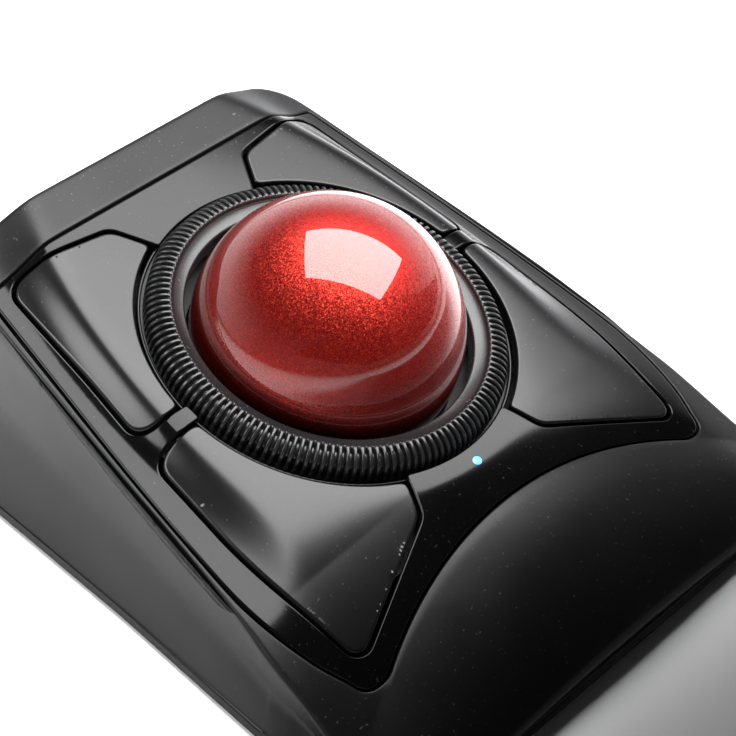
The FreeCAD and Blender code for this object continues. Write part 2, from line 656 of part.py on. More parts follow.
def make_chassis():
    """Inner chassis: plate under the deck that carries pins, cup, guide and main board."""
    back, front = DECK_BACK - 2.4, DECK_FRONT + 3.0
    half = CHASSIS_HALF_WIDTH
    plate = prism(rounded_wire([(half, back, 6), (half, front, 6), (-half, front, 6), (-half, back, 6)]),
                  CHASSIS_LOW, CHASSIS_TOP)
    posts, cuts = [], [disc(CUP_OUTER + 0.5, -FAR, FAR), disc(LIGHT_RADIUS + 0.4, -FAR, FAR, *LED_PLACE)]
    wide, long = SWITCH_BODY[0] / 2 + 0.3, SWITCH_BODY[1] / 2 + 0.3
    for row, v in PIN_V.items():
        for side in (1, -1):
            x = side * PIN_X
            posts.append(box((x - EAR_WIDTH / 2, v - 2, CHASSIS_TOP),
                             (x + EAR_WIDTH / 2, v + 2, PIN_HEIGHT + 1.8)))
            cuts.append(Part.makeCylinder(PIN_RADIUS + 0.01, 9, Vector(x - 4.5, v, PIN_HEIGHT), X_AXIS))
            x, at = side * SWITCH_X, SWITCH_V[row]
            cuts.append(box((x - wide, at - long, CHASSIS_LOW - 1), (x + wide, at + long, CHASSIS_TOP + 1)))
    for x, v in BOARD_BOSSES:
        posts.append(disc(2.3, BOARD_TOP, CHASSIS_LOW, x, v))
        cuts.append(disc(SCREW_RADIUS + THREAD_GAP, BOARD_TOP - 1, CHASSIS_LOW + 0.5, x, v))
    for x, v in DECK_BOSSES:
        cuts.append(disc(SCREW_RADIUS + 0.1, CHASSIS_LOW - 1, CHASSIS_TOP + 1, x, v))
    for x, v in cup_screw_places():
        cuts.append(disc(SCREW_RADIUS + THREAD_GAP, CHASSIS_LOW - 1, CHASSIS_TOP + 1, x, v))
    chassis = merged([plate] + posts)
    for tool in cuts:
        chassis = chassis.cut(tool)
    return to_world(chassis)


# ---------------------------------------------------------------- ball, cup and ring
def cup_screw_places():
    """Three places on the cup's flange."""
    angles = [math.radians(a) for a in CUP_SCREW_ANGLES]
    return [(CUP_SCREW_CIRCLE * math.cos(a), CUP_SCREW_CIRCLE * math.sin(a)) for a in angles]


def make_ball():
    """The ball, free to roll in its cup."""
    return to_world(Part.makeSphere(BALL_RADIUS))


def make_cup():
    """Cup under the ball, with a flange, three bearing pockets and the sensor's window."""
    centre = Vector(0, 0, 0)
    below = box((-FAR, -FAR, -FAR), (FAR, FAR, FLANGE_TOP))
    shell = Part.makeSphere(CUP_OUTER, centre).common(below)
    flange = disc(FLANGE_OUTER, CHASSIS_TOP, FLANGE_TOP)
    solids = [shell, flange]
    bearing_back = BALL_RADIUS + BEARING_GAP + 2 * BEARING_RADIUS
    for angle in BEARING_ANGLES:
        aim = along(BEARING_POLAR, angle)
        solids.append(rod(aim, 2 * BEARING_RADIUS, CUP_INNER + 0.5, bearing_back + 1.3))
    sight = along(SENSOR_POLAR, SENSOR_ANGLE)
    spacing, radius = SENSOR_POST
    for side in (1, -1):
        solids.append(rod(sight, radius, CUP_INNER + 0.5, SENSOR_BOARD_LOW, side * spacing))
    cup = merged(solids).cut(Part.makeSphere(CUP_INNER, centre))
    cuts = [rod(sight, WINDOW_RADIUS, CUP_INNER - 5, CUP_OUTER + 3)]
    for angle in BEARING_ANGLES:
        aim = along(BEARING_POLAR, angle)
        cuts.append(rod(aim, BEARING_RADIUS + 0.03, CUP_INNER - 5, bearing_back + 0.05))
    for side in (1, -1):
        cuts.append(rod(sight, SCREW_RADIUS + THREAD_GAP, SENSOR_BOARD_LOW - 3.2,
                        SENSOR_BOARD_LOW + 1, side * spacing))
    for x, v in cup_screw_places():
        cuts.append(disc(SCREW_RADIUS + 0.1, CHASSIS_TOP - 1, FLANGE_TOP + 1, x, v))
    for tool in cuts:
        cup = cup.cut(tool)
    return to_world(cup)


def make_bearings():
    """Three small hard balls that the big ball rolls on."""
    reach = BALL_RADIUS + BEARING_GAP + BEARING_RADIUS
    balls = [Part.makeSphere(BEARING_RADIUS, along(BEARING_POLAR, angle) * reach)
             for angle in BEARING_ANGLES]
    return to_world(Part.makeCompound(balls))


def ring_profile(depth=0.0):
    """Half section of the scroll ring, its knurled crown lowered by depth."""
    flat_r, flat_w = KNURL_INNER + 0.5, RING_HEIGHT - depth
    low_r, low_w = RING_OUTER - depth, RING_OUTER_TOP - depth
    bow = Vector(flat_r + 0.72 * (low_r - flat_r), 0, low_w + 0.72 * (flat_w - low_w))
    crown = Part.Arc(Vector(flat_r, 0, flat_w), bow, Vector(low_r, 0, low_w)).toShape()
    path = [(low_r, low_w), (low_r, RING_LOW), (JOURNAL_OUTER, RING_LOW), (JOURNAL_OUTER, DISC_TOP),
            (JOURNAL_OUTER - JOURNAL_WALL, DISC_TOP), (JOURNAL_OUTER - JOURNAL_WALL, RING_LOW),
            (RING_INNER, RING_LOW), (RING_INNER, RING_INNER_TOP - 0.4), (RING_INNER + 0.4, RING_INNER_TOP),
            (KNURL_INNER, flat_w), (flat_r, flat_w)]
    places = [Vector(r, 0, w) for r, w in path]
    straight = [Part.makeLine(a, b) for a, b in zip(places, places[1:])]
    return Part.Face(Part.Wire([crown] + straight)).revolve(Vector(0, 0, 0), Z_AXIS, 360)


def make_ring():
    """Scroll ring: smooth inner band, knurled crown and a journal below."""
    whole, core = ring_profile(), ring_profile(KNURL_DEPTH)
    slot_width = math.pi * (KNURL_INNER + RING_OUTER) / KNURL_COUNT / 2
    blade = box((KNURL_INNER + 0.8, -slot_width / 2, RING_LOW + 0.8),
                (RING_OUTER + 2, slot_width / 2, RING_HEIGHT + 2))
    blades = []
    for i in range(KNURL_COUNT):
        turned = blade.copy()
        turned.rotate(Vector(0, 0, 0), Z_AXIS, 360.0 * i / KNURL_COUNT)
        blades.append(turned)
    slots = Part.makeCompound(blades).cut(core)
    return to_world(whole.cut(slots))


def make_disc():
    """Code disc under the ring, with a circle of slots for the ring's sensor."""
    plate = tube(JOURNAL_OUTER - JOURNAL_WALL - 0.1, DISC_OUTER, DISC_LOW, DISC_TOP)
    slots = []
    for i in range(CODE_SLOTS):
        slot = box((JOURNAL_OUTER + 0.3, -0.6, DISC_LOW - 1), (DISC_OUTER - 0.4, 0.6, DISC_TOP + 1))
        slot.rotate(Vector(0, 0, 0), Z_AXIS, 360.0 * i / CODE_SLOTS)
        slots.append(slot)
    return to_world(plate.cut(Part.makeCompound(slots)))


def make_guide():
    """Fixed guide: a wall on the chassis and a lip that the ring's journal turns in."""
    wall = tube(GUIDE_OUTER - GUIDE_WALL, GUIDE_OUTER, CHASSIS_TOP, GUIDE_TOP)
    lip = tube(JOURNAL_OUTER + RUN_GAP, GUIDE_OUTER - 0.5, GUIDE_LOW, GUIDE_TOP)
    return to_world(merged([wall, lip]))


def make_ring_sensor():
    """Reflective sensor that watches the code disc."""
    mid = -(JOURNAL_OUTER + DISC_OUTER) / 2
    return to_world(box((-2.0, mid - 1.5, FLANGE_TOP), (2.0, mid + 1.5, DISC_LOW - 0.6)))


# ---------------------------------------------------------------- electronics
def make_main_board():
    """Main circuit board: a frame round the cup, parallel to the deck."""
    half, front, back = BOARD_HALF_WIDTH, DECK_FRONT + 5.0, DECK_BACK - 7.8
    board = prism(rounded_wire([(half, back, 4), (half, front, 4), (-half, front, 4), (-half, back, 4)]),
                  BOARD_LOW, BOARD_TOP)
    board = board.cut(disc(BOARD_HOLE, -FAR, FAR))
    for x, v in BOARD_BOSSES:
        board = board.cut(disc(SCREW_RADIUS + 0.1, -FAR, FAR, x, v))
    return to_world(board)


def switch_places():
    """Node suffix and place of each microswitch."""
    places = {}
    for row in ("front", "back"):
        for name, side in (("left", -1), ("right", 1)):
            places[row + "_" + name] = (side * SWITCH_X, SWITCH_V[row])
    return places


def make_switch_bodies():
    """Four microswitches on the main board, each with a bore for its plunger."""
    bodies = []
    wide, long = SWITCH_BODY[0] / 2, SWITCH_BODY[1] / 2
    for x, v in switch_places().values():
        body = box((x - wide, v - long, BOARD_TOP), (x + wide, v + long, SWITCH_TOP))
        bodies.append(to_world(body.cut(disc(PLUNGER_RADIUS + 0.1, SWITCH_TOP - 3, SWITCH_TOP + 1, x, v))))
    return Part.makeCompound(bodies)


def make_plunger(x, v):
    """Plunger of one microswitch."""
    return to_world(disc(PLUNGER_RADIUS, SWITCH_TOP - 1.8, PLUNGER_TOP, x, v))


def make_led():
    """Status lamp on the main board."""
    x, v = LED_PLACE
    return to_world(box((x - 1.5, v - 1.0, BOARD_TOP), (x + 1.5, v + 1.0, BOARD_TOP + LED_HEIGHT)))


def make_light_pipe():
    """Clear rod that carries the lamp's light up through the deck."""
    x, v = LED_PLACE
    low = BOARD_TOP + LED_HEIGHT + 0.2
    stem = disc(LIGHT_RADIUS, low, FAR / 4, x, v).common(lowered(DECK_BLOCK, 0.1))
    return to_world(merged([stem, disc(LIGHT_RADIUS + 0.8, low, low + 1.0, x, v)]))


def make_lens():
    """Lens in the cup's window."""
    sight = along(SENSOR_POLAR, SENSOR_ANGLE)
    barrel = rod(sight, WINDOW_RADIUS - 0.2, CUP_INNER + 0.4, LENS_LOW + 0.5)
    return to_world(merged([barrel, rod(sight, 5.0, LENS_LOW, SENSOR_LOW - 0.1)]))


def make_sensor():
    """Optical sensor that watches the ball."""
    return to_world(aimed_box(8.0, 8.0, SENSOR_LOW, SENSOR_BOARD_LOW))


def make_sensor_board():
    """Small board behind the optical sensor, screwed to the cup's two posts."""
    spacing, radius = SENSOR_POST
    board = aimed_box(2 * (spacing + radius), 12.0, SENSOR_BOARD_LOW, SENSOR_BOARD_LOW + 1.2)
    sight = along(SENSOR_POLAR, SENSOR_ANGLE)
    for side in (1, -1):
        board = board.cut(rod(sight, SCREW_RADIUS + 0.1, SENSOR_LOW, SENSOR_BOARD_LOW + 3, side * spacing))
    return to_world(board)


def make_control_board():
    """Small board over the underside's controls."""
    board = box((-24.0, CONTROL_Y - 6, CONTROL_BOARD_LOW),
                (24.0, CONTROL_Y + 6, CONTROL_BOARD_LOW + BOARD_WALL))
    for x in CONTROL_POSTS:
        board = board.cut(disc(SCREW_RADIUS + 0.1, 0, FAR, x, CONTROL_Y))
    return board


def make_slide_switch():
    """Body of the mode switch, under the control board."""
    return box((SLIDER_X - 5, CONTROL_Y - 2.2, TRAY_TOP + 1.4),
               (SLIDER_X + 5, CONTROL_Y + 2.2, CONTROL_BOARD_LOW))


def make_mode_slider():
    """Sliding mode knob, held in its slot by a flange above the tray's floor."""
    parts = []
    flange_low = TRAY_TOP + MOVE_GAP
    heights = ((SLIDER_KNOB, FOOT_HEIGHT + 0.4, FOOT_HEIGHT + 1.15),
               (SLIDER_NECK, FOOT_HEIGHT + 1.15, flange_low),
               (SLIDER_FLANGE, flange_low, flange_low + 0.7))
    for (wide, long), low, high in heights:
        parts.append(box((SLIDER_X - wide / 2, CONTROL_Y - long / 2, low),
                         (SLIDER_X + wide / 2, CONTROL_Y + long / 2, high)))
    return merged(parts)


def make_pair_button():
    """Pairing button, held by a flange above the tray's floor."""
    flange_low = TRAY_TOP + MOVE_GAP
    return merged([disc(PAIR_RADIUS, FOOT_HEIGHT + 0.2, flange_low, PAIR_X, CONTROL_Y),
                   disc(PAIR_FLANGE, flange_low, flange_low + 0.6, PAIR_X, CONTROL_Y)])


def make_tact_switch():
    """Push switch over the pairing button."""
    return box((PAIR_X - 2.5, CONTROL_Y - 2.5, TRAY_TOP + 1.7),
               (PAIR_X + 2.5, CONTROL_Y + 2.5, CONTROL_BOARD_LOW))


# ---------------------------------------------------------------- screws
def make_case_screws():
    """Four screws under the feet, up into the housing's posts."""
    seat = FOOT_THICK + 0.05 + CASE_SCREW_HEAD[1]
    places = [(x, y, seat) for x, y in POST_PLACES]
    return Part.makeCompound([screw(CASE_SCREW_HEAD, CASE_SCREW_RADIUS, CASE_SCREW_LENGTH, p)
                              for p in places])


def make_deck_screws():
    """Five screws through the chassis into the deck's bosses."""
    places = [(x, v, CHASSIS_LOW) for x, v in DECK_BOSSES]
    return to_world(Part.makeCompound([screw(SCREW_HEAD, SCREW_RADIUS, 6.5, p) for p in places]))


def make_board_screws():
    """Four screws through the main board into the chassis posts."""
    places = [(x, v, BOARD_LOW) for x, v in BOARD_BOSSES]
    return to_world(Part.makeCompound([screw(SCREW_HEAD, SCREW_RADIUS, 5.0, p) for p in places]))


def make_cup_screws():
    """Three screws through the cup's flange into the chassis."""
    places = [(x, v, FLANGE_TOP) for x, v in cup_screw_places()]
    return to_world(Part.makeCompound([screw(SCREW_HEAD, SCREW_RADIUS, 3.2, p, True) for p in places]))


def make_control_screws():
    """Two screws that hold the control board."""
    places = [(x, CONTROL_Y, CONTROL_BOARD_LOW + BOARD_WALL) for x in CONTROL_POSTS]
    return Part.makeCompound([screw(SCREW_HEAD, SCREW_RADIUS, 4.5, p, True) for p in places])


def make_sensor_screws():
    """Two screws that hold the sensor's board to the cup's posts."""
    sight = along(SENSOR_POLAR, SENSOR_ANGLE)
    seat = SENSOR_BOARD_LOW + 1.2
    head_radius, head_height = SCREW_HEAD
    pieces = []
    for side in (1, -1):
        aside = side * SENSOR_POST[0]
        pieces.append(merged([rod(sight, head_radius, seat, seat + head_height, aside),
                              rod(sight, SCREW_RADIUS, seat - 4.0, seat, aside)]))
    return to_world(Part.makeCompound(pieces))


# ---------------------------------------------------------------- the assembly
def build():
    """Every sub-part by node name."""
    nodes = {
        "housing_shell": make_housing(), "base_tray": make_tray(), "battery_door": make_door(),
        "rubber_feet": make_feet(), "battery_cells": make_cells(), "battery_contacts": make_contacts(),
        "deck_plate": make_deck(), "chassis": make_chassis(), "button_pins": make_pins(),
        "trackball": make_ball(), "ball_cup": make_cup(), "support_bearings": make_bearings(),
        "scroll_ring": make_ring(), "code_disc": make_disc(), "ring_guide": make_guide(),
        "ring_sensor": make_ring_sensor(), "main_board": make_main_board(),
        "switch_bodies": make_switch_bodies(), "status_led": make_led(), "light_pipe": make_light_pipe(),
        "sensor_lens": make_lens(), "optical_sensor": make_sensor(), "sensor_board": make_sensor_board(),
        "control_board": make_control_board(), "slide_switch": make_slide_switch(),
        "mode_slider": make_mode_slider(), "tact_switch": make_tact_switch(),
        "pair_button": make_pair_button(),
        "case_screws": make_case_screws(), "deck_screws": make_deck_screws(),
        "board_screws": make_board_screws(),
        "cup_screws": make_cup_screws(), "control_screws": make_control_screws(),
        "sensor_screws": make_sensor_screws(),
    }
    for row in ("front", "back"):
        button = make_button(row)
        nodes["button_" + row + "_right"] = button
        nodes["button_" + row + "_left"] = mirrored(button)
    for name, place in switch_places().items():
        nodes["switch_plunger_" + name] = make_plunger(*place)
    return nodes


os.makedirs("parts", exist_ok=True)
for node, shape in build().items():
    shape.exportStep("parts/" + node + ".step")
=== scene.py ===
import json
import logging
import math
from dataclasses import dataclass
from enum import Enum
from typing import Callable, ClassVar

import bpy
import numpy as np
from mathutils import Matrix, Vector
from mathutils.geometry import delaunay_2d_cdt

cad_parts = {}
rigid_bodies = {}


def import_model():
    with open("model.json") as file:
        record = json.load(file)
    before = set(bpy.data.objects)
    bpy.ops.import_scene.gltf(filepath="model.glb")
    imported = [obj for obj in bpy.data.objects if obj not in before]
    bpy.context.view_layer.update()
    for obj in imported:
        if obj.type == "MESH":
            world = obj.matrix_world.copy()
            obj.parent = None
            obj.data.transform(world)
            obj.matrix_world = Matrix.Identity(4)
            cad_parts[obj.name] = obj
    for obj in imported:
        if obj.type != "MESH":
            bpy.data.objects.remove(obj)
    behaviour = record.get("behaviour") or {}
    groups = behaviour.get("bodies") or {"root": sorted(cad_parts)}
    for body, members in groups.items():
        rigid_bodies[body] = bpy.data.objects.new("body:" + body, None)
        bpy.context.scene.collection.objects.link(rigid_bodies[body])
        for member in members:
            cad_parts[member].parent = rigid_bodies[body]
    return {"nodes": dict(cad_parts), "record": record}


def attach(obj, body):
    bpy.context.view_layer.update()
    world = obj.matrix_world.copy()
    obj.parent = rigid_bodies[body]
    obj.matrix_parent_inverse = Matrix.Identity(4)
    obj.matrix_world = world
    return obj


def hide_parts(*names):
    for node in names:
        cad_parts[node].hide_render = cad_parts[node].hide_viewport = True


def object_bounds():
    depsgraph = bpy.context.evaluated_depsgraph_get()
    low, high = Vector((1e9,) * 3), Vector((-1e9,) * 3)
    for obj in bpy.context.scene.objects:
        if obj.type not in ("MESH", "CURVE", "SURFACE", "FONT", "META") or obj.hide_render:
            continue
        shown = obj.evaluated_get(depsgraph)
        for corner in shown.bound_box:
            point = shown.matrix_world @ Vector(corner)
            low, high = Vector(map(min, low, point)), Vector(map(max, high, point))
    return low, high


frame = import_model()
CAD_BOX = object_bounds()

# Trackball pointing device.  Shapes are worked out in the deck frame, in millimetres:
# x to the user's right, v away from the user along the tilted deck and w square to it,
# with the origin at the ball's centre.  DeckForm.to_world carries them to the row frame.

LOG = logging.getLogger("trackball")
MM = 0.001
FULL_TURN = 2 * math.pi
MIRROR = np.array([-1.0, 1.0])
HeightField = Callable[[np.ndarray, np.ndarray], np.ndarray]


class Body(Enum):
    """The CAD bodies that new pieces ride on."""

    CASE = "case"
    BALL = "ball"
    RING = "ring"
    BACK_LEFT = "button_back_left"
    BACK_RIGHT = "button_back_right"
    FRONT_LEFT = "button_front_left"
    FRONT_RIGHT = "button_front_right"


class Side(Enum):
    """Which side of the middle plane a button lies on."""

    LEFT = -1
    RIGHT = 1


class Row(Enum):
    """Whether a button lies behind or in front of the ball."""

    BACK = "back"
    FRONT = "front"


# ---------------------------------------------------------------- the deck's form
@dataclass(frozen=True)
class DeckForm:
    """The sizes and height fields that every outer piece shares, in millimetres."""

    half_length: float = 78.0
    half_width: float = 65.0
    foot_height: float = 1.0
    ball_height: float = 38.0
    ball_radius: float = 27.5
    tilt: float = math.radians(18.0)
    deck_top: float = 1.0
    deck_back: float = 47.787
    deck_front: float = -49.314
    tip_reach: float = 12.2
    tip_front: float = 18.5
    rim_width: float = 5.3
    side_drop: float = 5.5
    rim_drop: float = 1.6
    front_fall: float = 0.18
    crease_mid: float = 42.8
    crease_radius: float = 108.0
    crease_softness: float = 1.2
    blend: float = 0.4
    least_fall_run: float = 2.0
    hole_radius: float = 37.3
    collar_outer: float = 38.1
    button_inner: float = 38.8
    button_gap: float = 0.7
    bridge_mid: float = 0.7
    bridge_width: float = 3.8
    back_lean: float = 21.9
    skirt_top: float = 3.0
    nose_power: float = 2.6
    nose_fall: float = 0.35
    tray_top: float = 3.5
    side_steps: tuple[float, ...] = (0.0, 0.24, 0.44, 0.62, 0.765, 0.9, 1.0)
    side_insets: tuple[float, ...] = (19.0, 15.0, 11.8, 9.5, 8.5, 10.3, 14.2)

    @property
    def deck_tip(self) -> float:
        """How far forward the deck's front corners reach."""
        return self.deck_front - self.tip_reach

    @property
    def back_top(self) -> float:
        """The back edge of the housing's top, along the deck."""
        return (self.half_length - self.back_lean) / math.cos(self.tilt)

    @property
    def nose(self) -> float:
        """Where the housing's dome would end in front, along the deck."""
        fall = self.ball_height * math.tan(self.tilt) / 2
        return -(self.half_length + fall) / math.cos(self.tilt)

    def to_world(self, points: np.ndarray) -> np.ndarray:
        """Carry deck-frame points in millimetres to the row frame in metres: a turn about X
        by the tilt, then a rise to the ball's centre.

        Args:
            points: Array whose last axis is (x, v, w).

        Returns:
            Array of the same shape holding (X, Y, Z).
        """
        c, s = math.cos(self.tilt), math.sin(self.tilt)
        x, v, w = points[..., 0], points[..., 1], points[..., 2]
        return np.stack([x, v * c - w * s, self.ball_height + v * s + w * c], axis=-1) * MM

    def to_deck(self, points: np.ndarray) -> np.ndarray:
        """Carry world points in millimetres to the deck frame, the other way round.

        Args:
            points: Array whose last axis is (X, Y, Z) in millimetres.

        Returns:
            Array of the same shape holding (x, v, w) in millimetres.
        """
        c, s = math.cos(self.tilt), math.sin(self.tilt)
        x, y, z = points[..., 0], points[..., 1], points[..., 2] - self.ball_height
        return np.stack([x, y * c + z * s, z * c - y * s], axis=-1)

    def ramp(self, distance: np.ndarray) -> np.ndarray:
        """Zero before a crease and the distance after it, joined by softness times the
        logarithm of one plus the exponential of distance over softness.

        Args:
            distance: How far past the crease each point lies.

        Returns:
            The softened distances.
        """
        return self.crease_softness * np.logaddexp(0.0, distance / self.crease_softness)

    def side_edge(self, v: np.ndarray | float) -> np.ndarray:
        """Half width of the deck: cubic Hermite spans through the side's stations, each
        station's slope being that of the line between its neighbours.

        Args:
            v: Places along the deck.

        Returns:
            The half width at each place.
        """
        steps = np.array(self.side_steps)
        widths = self.half_width - np.array(self.side_insets)
        last = len(steps) - 1
        before = np.maximum(np.arange(last + 1) - 1, 0)
        after = np.minimum(np.arange(last + 1) + 1, last)
        slopes = (widths[after] - widths[before]) / (steps[after] - steps[before])
        t = (self.deck_back - np.asarray(v, float)) / (self.deck_back - self.deck_tip)
        inner = np.clip(t, 0.0, 1.0)
        i = np.clip(np.searchsorted(steps, inner, side="right") - 1, 0, last - 1)
        span = steps[i + 1] - steps[i]
        u = (inner - steps[i]) / span
        curve = (
            widths[i] * (1 + 2 * u) * (1 - u) ** 2
            + widths[i + 1] * (3 - 2 * u) * u**2
            + span * slopes[i] * u * (1 - u) ** 2
            - span * slopes[i + 1] * u**2 * (1 - u)
        )
        return curve + np.where(t < 0, slopes[0], slopes[-1]) * (t - inner)

    def front_edge(self, x: np.ndarray) -> np.ndarray:
        """Front edge of the deck: a parabola that reaches furthest forward at its tips."""
        return self.deck_front - self.tip_reach * (x / (self.half_width - self.tip_front)) ** 2

    def height(self, x: np.ndarray, v: np.ndarray) -> np.ndarray:
        """Height of the deck: flat round the ring, less the larger of a side fall that is
        steep past the crease and gentle past the buttons, and a slow fall to the front.

        Args:
            x: Places across the deck.
            v: Places along the deck.

        Returns:
            The height at each place.
        """
        x = np.abs(x)
        crease = np.maximum(
            self.crease_mid - v * v / (2 * self.crease_radius), self.crease_mid / 3
        )
        edge = self.side_edge(v) - self.rim_width
        steep = self.side_drop / np.maximum(edge - crease, self.least_fall_run)
        gentle = self.rim_drop / self.rim_width
        side = steep * self.ramp(x - crease) + (gentle - steep) * self.ramp(x - edge)
        front = self.front_fall * self.ramp(np.hypot(x, v) - self.button_inner)
        front = front * np.clip(-v / self.button_inner, 0.0, 1.0)
        apart = np.abs(side - front) / self.blend
        more = np.maximum(side, front) + self.blend * (np.log1p(np.exp(-apart)) - math.log(2))
        return self.deck_top - np.maximum(more, 0.0)

    def crown(self, x: np.ndarray, v: np.ndarray) -> np.ndarray:
        """Height of the housing: the deck's own height, and in front of it a dome that
        falls to the nose as one minus the root of one minus a power of the way there.

        Args:
            x: Places across the housing.
            v: Places along the housing.

        Returns:
            The height at each place.
        """
        edge = self.front_edge(x)
        start = self.height(x, np.maximum(v, edge))
        run = np.clip((edge - v) / (edge - self.nose), 0.0, 1.0)
        dome = 1.0 - np.sqrt(1.0 - run**self.nose_power)
        low = -(self.ball_height - self.tray_top) * self.nose_fall
        return start - (start - low) * dome


FORM = DeckForm()


# ---------------------------------------------------------------- outlines
def rounded_polygon(corners: np.ndarray, steps: int) -> np.ndarray:
    """Straight lines whose corners are circular arcs.  Each arc is a rational quadratic
    curve whose middle weight is the sine of half the corner's angle.

    Args:
        corners: One row of (x, y, radius) for each corner.
        steps: Points on each arc and on each line.

    Returns:
        The outline's points, as many on every arc and line.
    """
    here, radius = corners[:, :2], corners[:, 2]
    back = np.roll(here, 1, axis=0) - here
    ahead = np.roll(here, -1, axis=0) - here
    back_length = np.linalg.norm(back, axis=1)
    ahead_length = np.linalg.norm(ahead, axis=1)
    cosine = np.sum(back * ahead, axis=1) / (back_length * ahead_length)
    half = np.arccos(np.clip(cosine, -1.0, 1.0)) / 2
    room = 0.49 * np.minimum(back_length, ahead_length)
    reach = np.minimum(radius / np.tan(half), room)
    first = here + back * (reach / back_length)[:, None]
    last = here + ahead * (reach / ahead_length)[:, None]
    t = np.linspace(0.0, 1.0, steps)[None, :, None]
    weight = np.sin(half)[:, None, None]
    parts = ((1 - t) ** 2, 2 * t * (1 - t) * weight, t**2)
    arcs = parts[0] * first[:, None] + parts[1] * here[:, None] + parts[2] * last[:, None]
    arcs = arcs / (parts[0] + parts[1] + parts[2])
    following = np.roll(first, -1, axis=0)
    run = (np.arange(1, steps + 1) / (steps + 1))[None, :, None]
    lines = last[:, None] + (following - last)[:, None] * run
    return np.concatenate([arcs, lines], axis=1).reshape(-1, 2)


@dataclass(frozen=True)
class Loop:
    """A closed outline in the deck plane.  The material lies to the left of its travel:
    a plate's edge runs anticlockwise and a hole's runs clockwise."""

    points: np.ndarray

    @property
    def area(self) -> float:
        """Signed area, positive when the loop runs anticlockwise.

        Returns:
            The area.
        """
        ahead = np.roll(self.points, -1, axis=0)
        return 0.5 * float(
            np.sum(self.points[:, 0] * ahead[:, 1] - ahead[:, 0] * self.points[:, 1])
        )

    def turned(self, anticlockwise: bool) -> "Loop":
        """The same loop, running the way that is asked for."""
        return self if (self.area > 0) == anticlockwise else Loop(self.points[::-1])

    def even(self, step: float) -> "Loop":
        """Evenly spaced points on the same line, by interpolation over its length.

        Args:
            step: Distance between the points, nearly.

        Returns:
            The resampled loop.
        """
        closed = np.vstack([self.points, self.points[:1]])
        length = np.concatenate([[0], np.cumsum(np.linalg.norm(np.diff(closed, axis=0), axis=1))])
        count = int(round(length[-1] / step))
        at = np.linspace(0.0, length[-1], count, endpoint=False)
        return Loop(np.stack([np.interp(at, length, closed[:, k]) for k in (0, 1)], axis=1))

    def soft(self, rounds: int) -> "Loop":
        """Round the corners: each point moves to the mean of itself, twice, and its two
        neighbours, several times over.

        Args:
            rounds: How many times.

        Returns:
            The softened loop.
        """
        points = self.points
        for _ in range(rounds):
            points = 0.5 * points + 0.25 * (np.roll(points, 1, 0) + np.roll(points, -1, 0))
        return Loop(points)

    def inset(self, distance: float) -> "Loop":
        """Move every point to the left of its travel, square to the line.

        Args:
            distance: How far, or away from the material where it is negative.

        Returns:
            The moved loop.
        """
        along = np.roll(self.points, -1, axis=0) - np.roll(self.points, 1, axis=0)
        along = along / np.linalg.norm(along, axis=1, keepdims=True)
        left = np.stack([-along[:, 1], along[:, 0]], axis=1)
        return Loop(self.points + left * distance)

    def eased(self, distance: float, step: float = 0.08) -> "Loop":
        """Inset in short steps, softened after each, so that sharp corners don't cross.

        Args:
            distance: How far.
            step: The longest single step.

        Returns:
            The moved loop.
        """
        loop, count = self, int(math.ceil(distance / step))
        for _ in range(count):
            loop = loop.inset(distance / count).soft(1)
        return loop

    def run_outside(self, radius: float) -> np.ndarray:
        """The one stretch of the loop outside a circle about the origin.

        Args:
            radius: The circle's radius.

        Returns:
            Points of the stretch, with its two ends on the circle.
        """
        away = np.hypot(self.points[:, 0], self.points[:, 1])
        first = int(np.flatnonzero((away > radius) & (np.roll(away, 1) <= radius))[0])
        points = np.roll(self.points, -first, axis=0)
        away = np.roll(away, -first)
        count = int(np.argmax(away <= radius))
        ends = np.stack([points[0], points[count - 1]])
        ends = ends / np.linalg.norm(ends, axis=1, keepdims=True) * radius
        return np.vstack([ends[:1], points[1 : count - 1], ends[1:]])


def circle_arc(radius: float, start: float, end: float, step: float = 0.3) -> np.ndarray:
    """Points on a circle about the origin between two angles, both ends left out.

    Args:
        radius: The circle's radius.
        start: The first angle.
        end: The last angle.
        step: Distance between the points, nearly.

    Returns:
        The points.
    """
    count = max(int(abs(end - start) * radius / step), 3)
    at = np.linspace(start, end, count)[1:-1]
    return radius * np.stack([np.cos(at), np.sin(at)], axis=1)


def bearing(points: np.ndarray) -> np.ndarray:
    """Angles of points about the origin, from nought to a full turn."""
    return np.arctan2(points[:, 1], points[:, 0]) % FULL_TURN


def inside(loops: list[Loop], places: np.ndarray, margin: float) -> np.ndarray:
    """Which places lie in the material and clear of its edges.  A line to the right of a
    place crosses the loops an odd number of times when the place is in the material.

    Args:
        loops: The edge and the holes.
        places: Points to test.
        margin: Least distance from the loops' own points.

    Returns:
        A mask, one value for each place.
    """
    start = np.vstack([loop.points for loop in loops])
    end = np.vstack([np.roll(loop.points, -1, axis=0) for loop in loops])
    rise = np.where(end[:, 1] == start[:, 1], 1e-9, end[:, 1] - start[:, 1])
    keep = []
    for block in np.array_split(places, max(len(places) // 2000, 1)):
        x, y = block[:, :1], block[:, 1:]
        spans = (start[:, 1] > y) != (end[:, 1] > y)
        at = start[:, 0] + (y - start[:, 1]) / rise * (end[:, 0] - start[:, 0])
        odd = np.sum(spans & (x < at), axis=1) % 2 == 1
        if margin:
            gap = (start[:, 0] - x) ** 2 + (start[:, 1] - y) ** 2
            odd &= gap.min(axis=1) > margin**2
        keep.append(odd)
    return np.concatenate(keep)


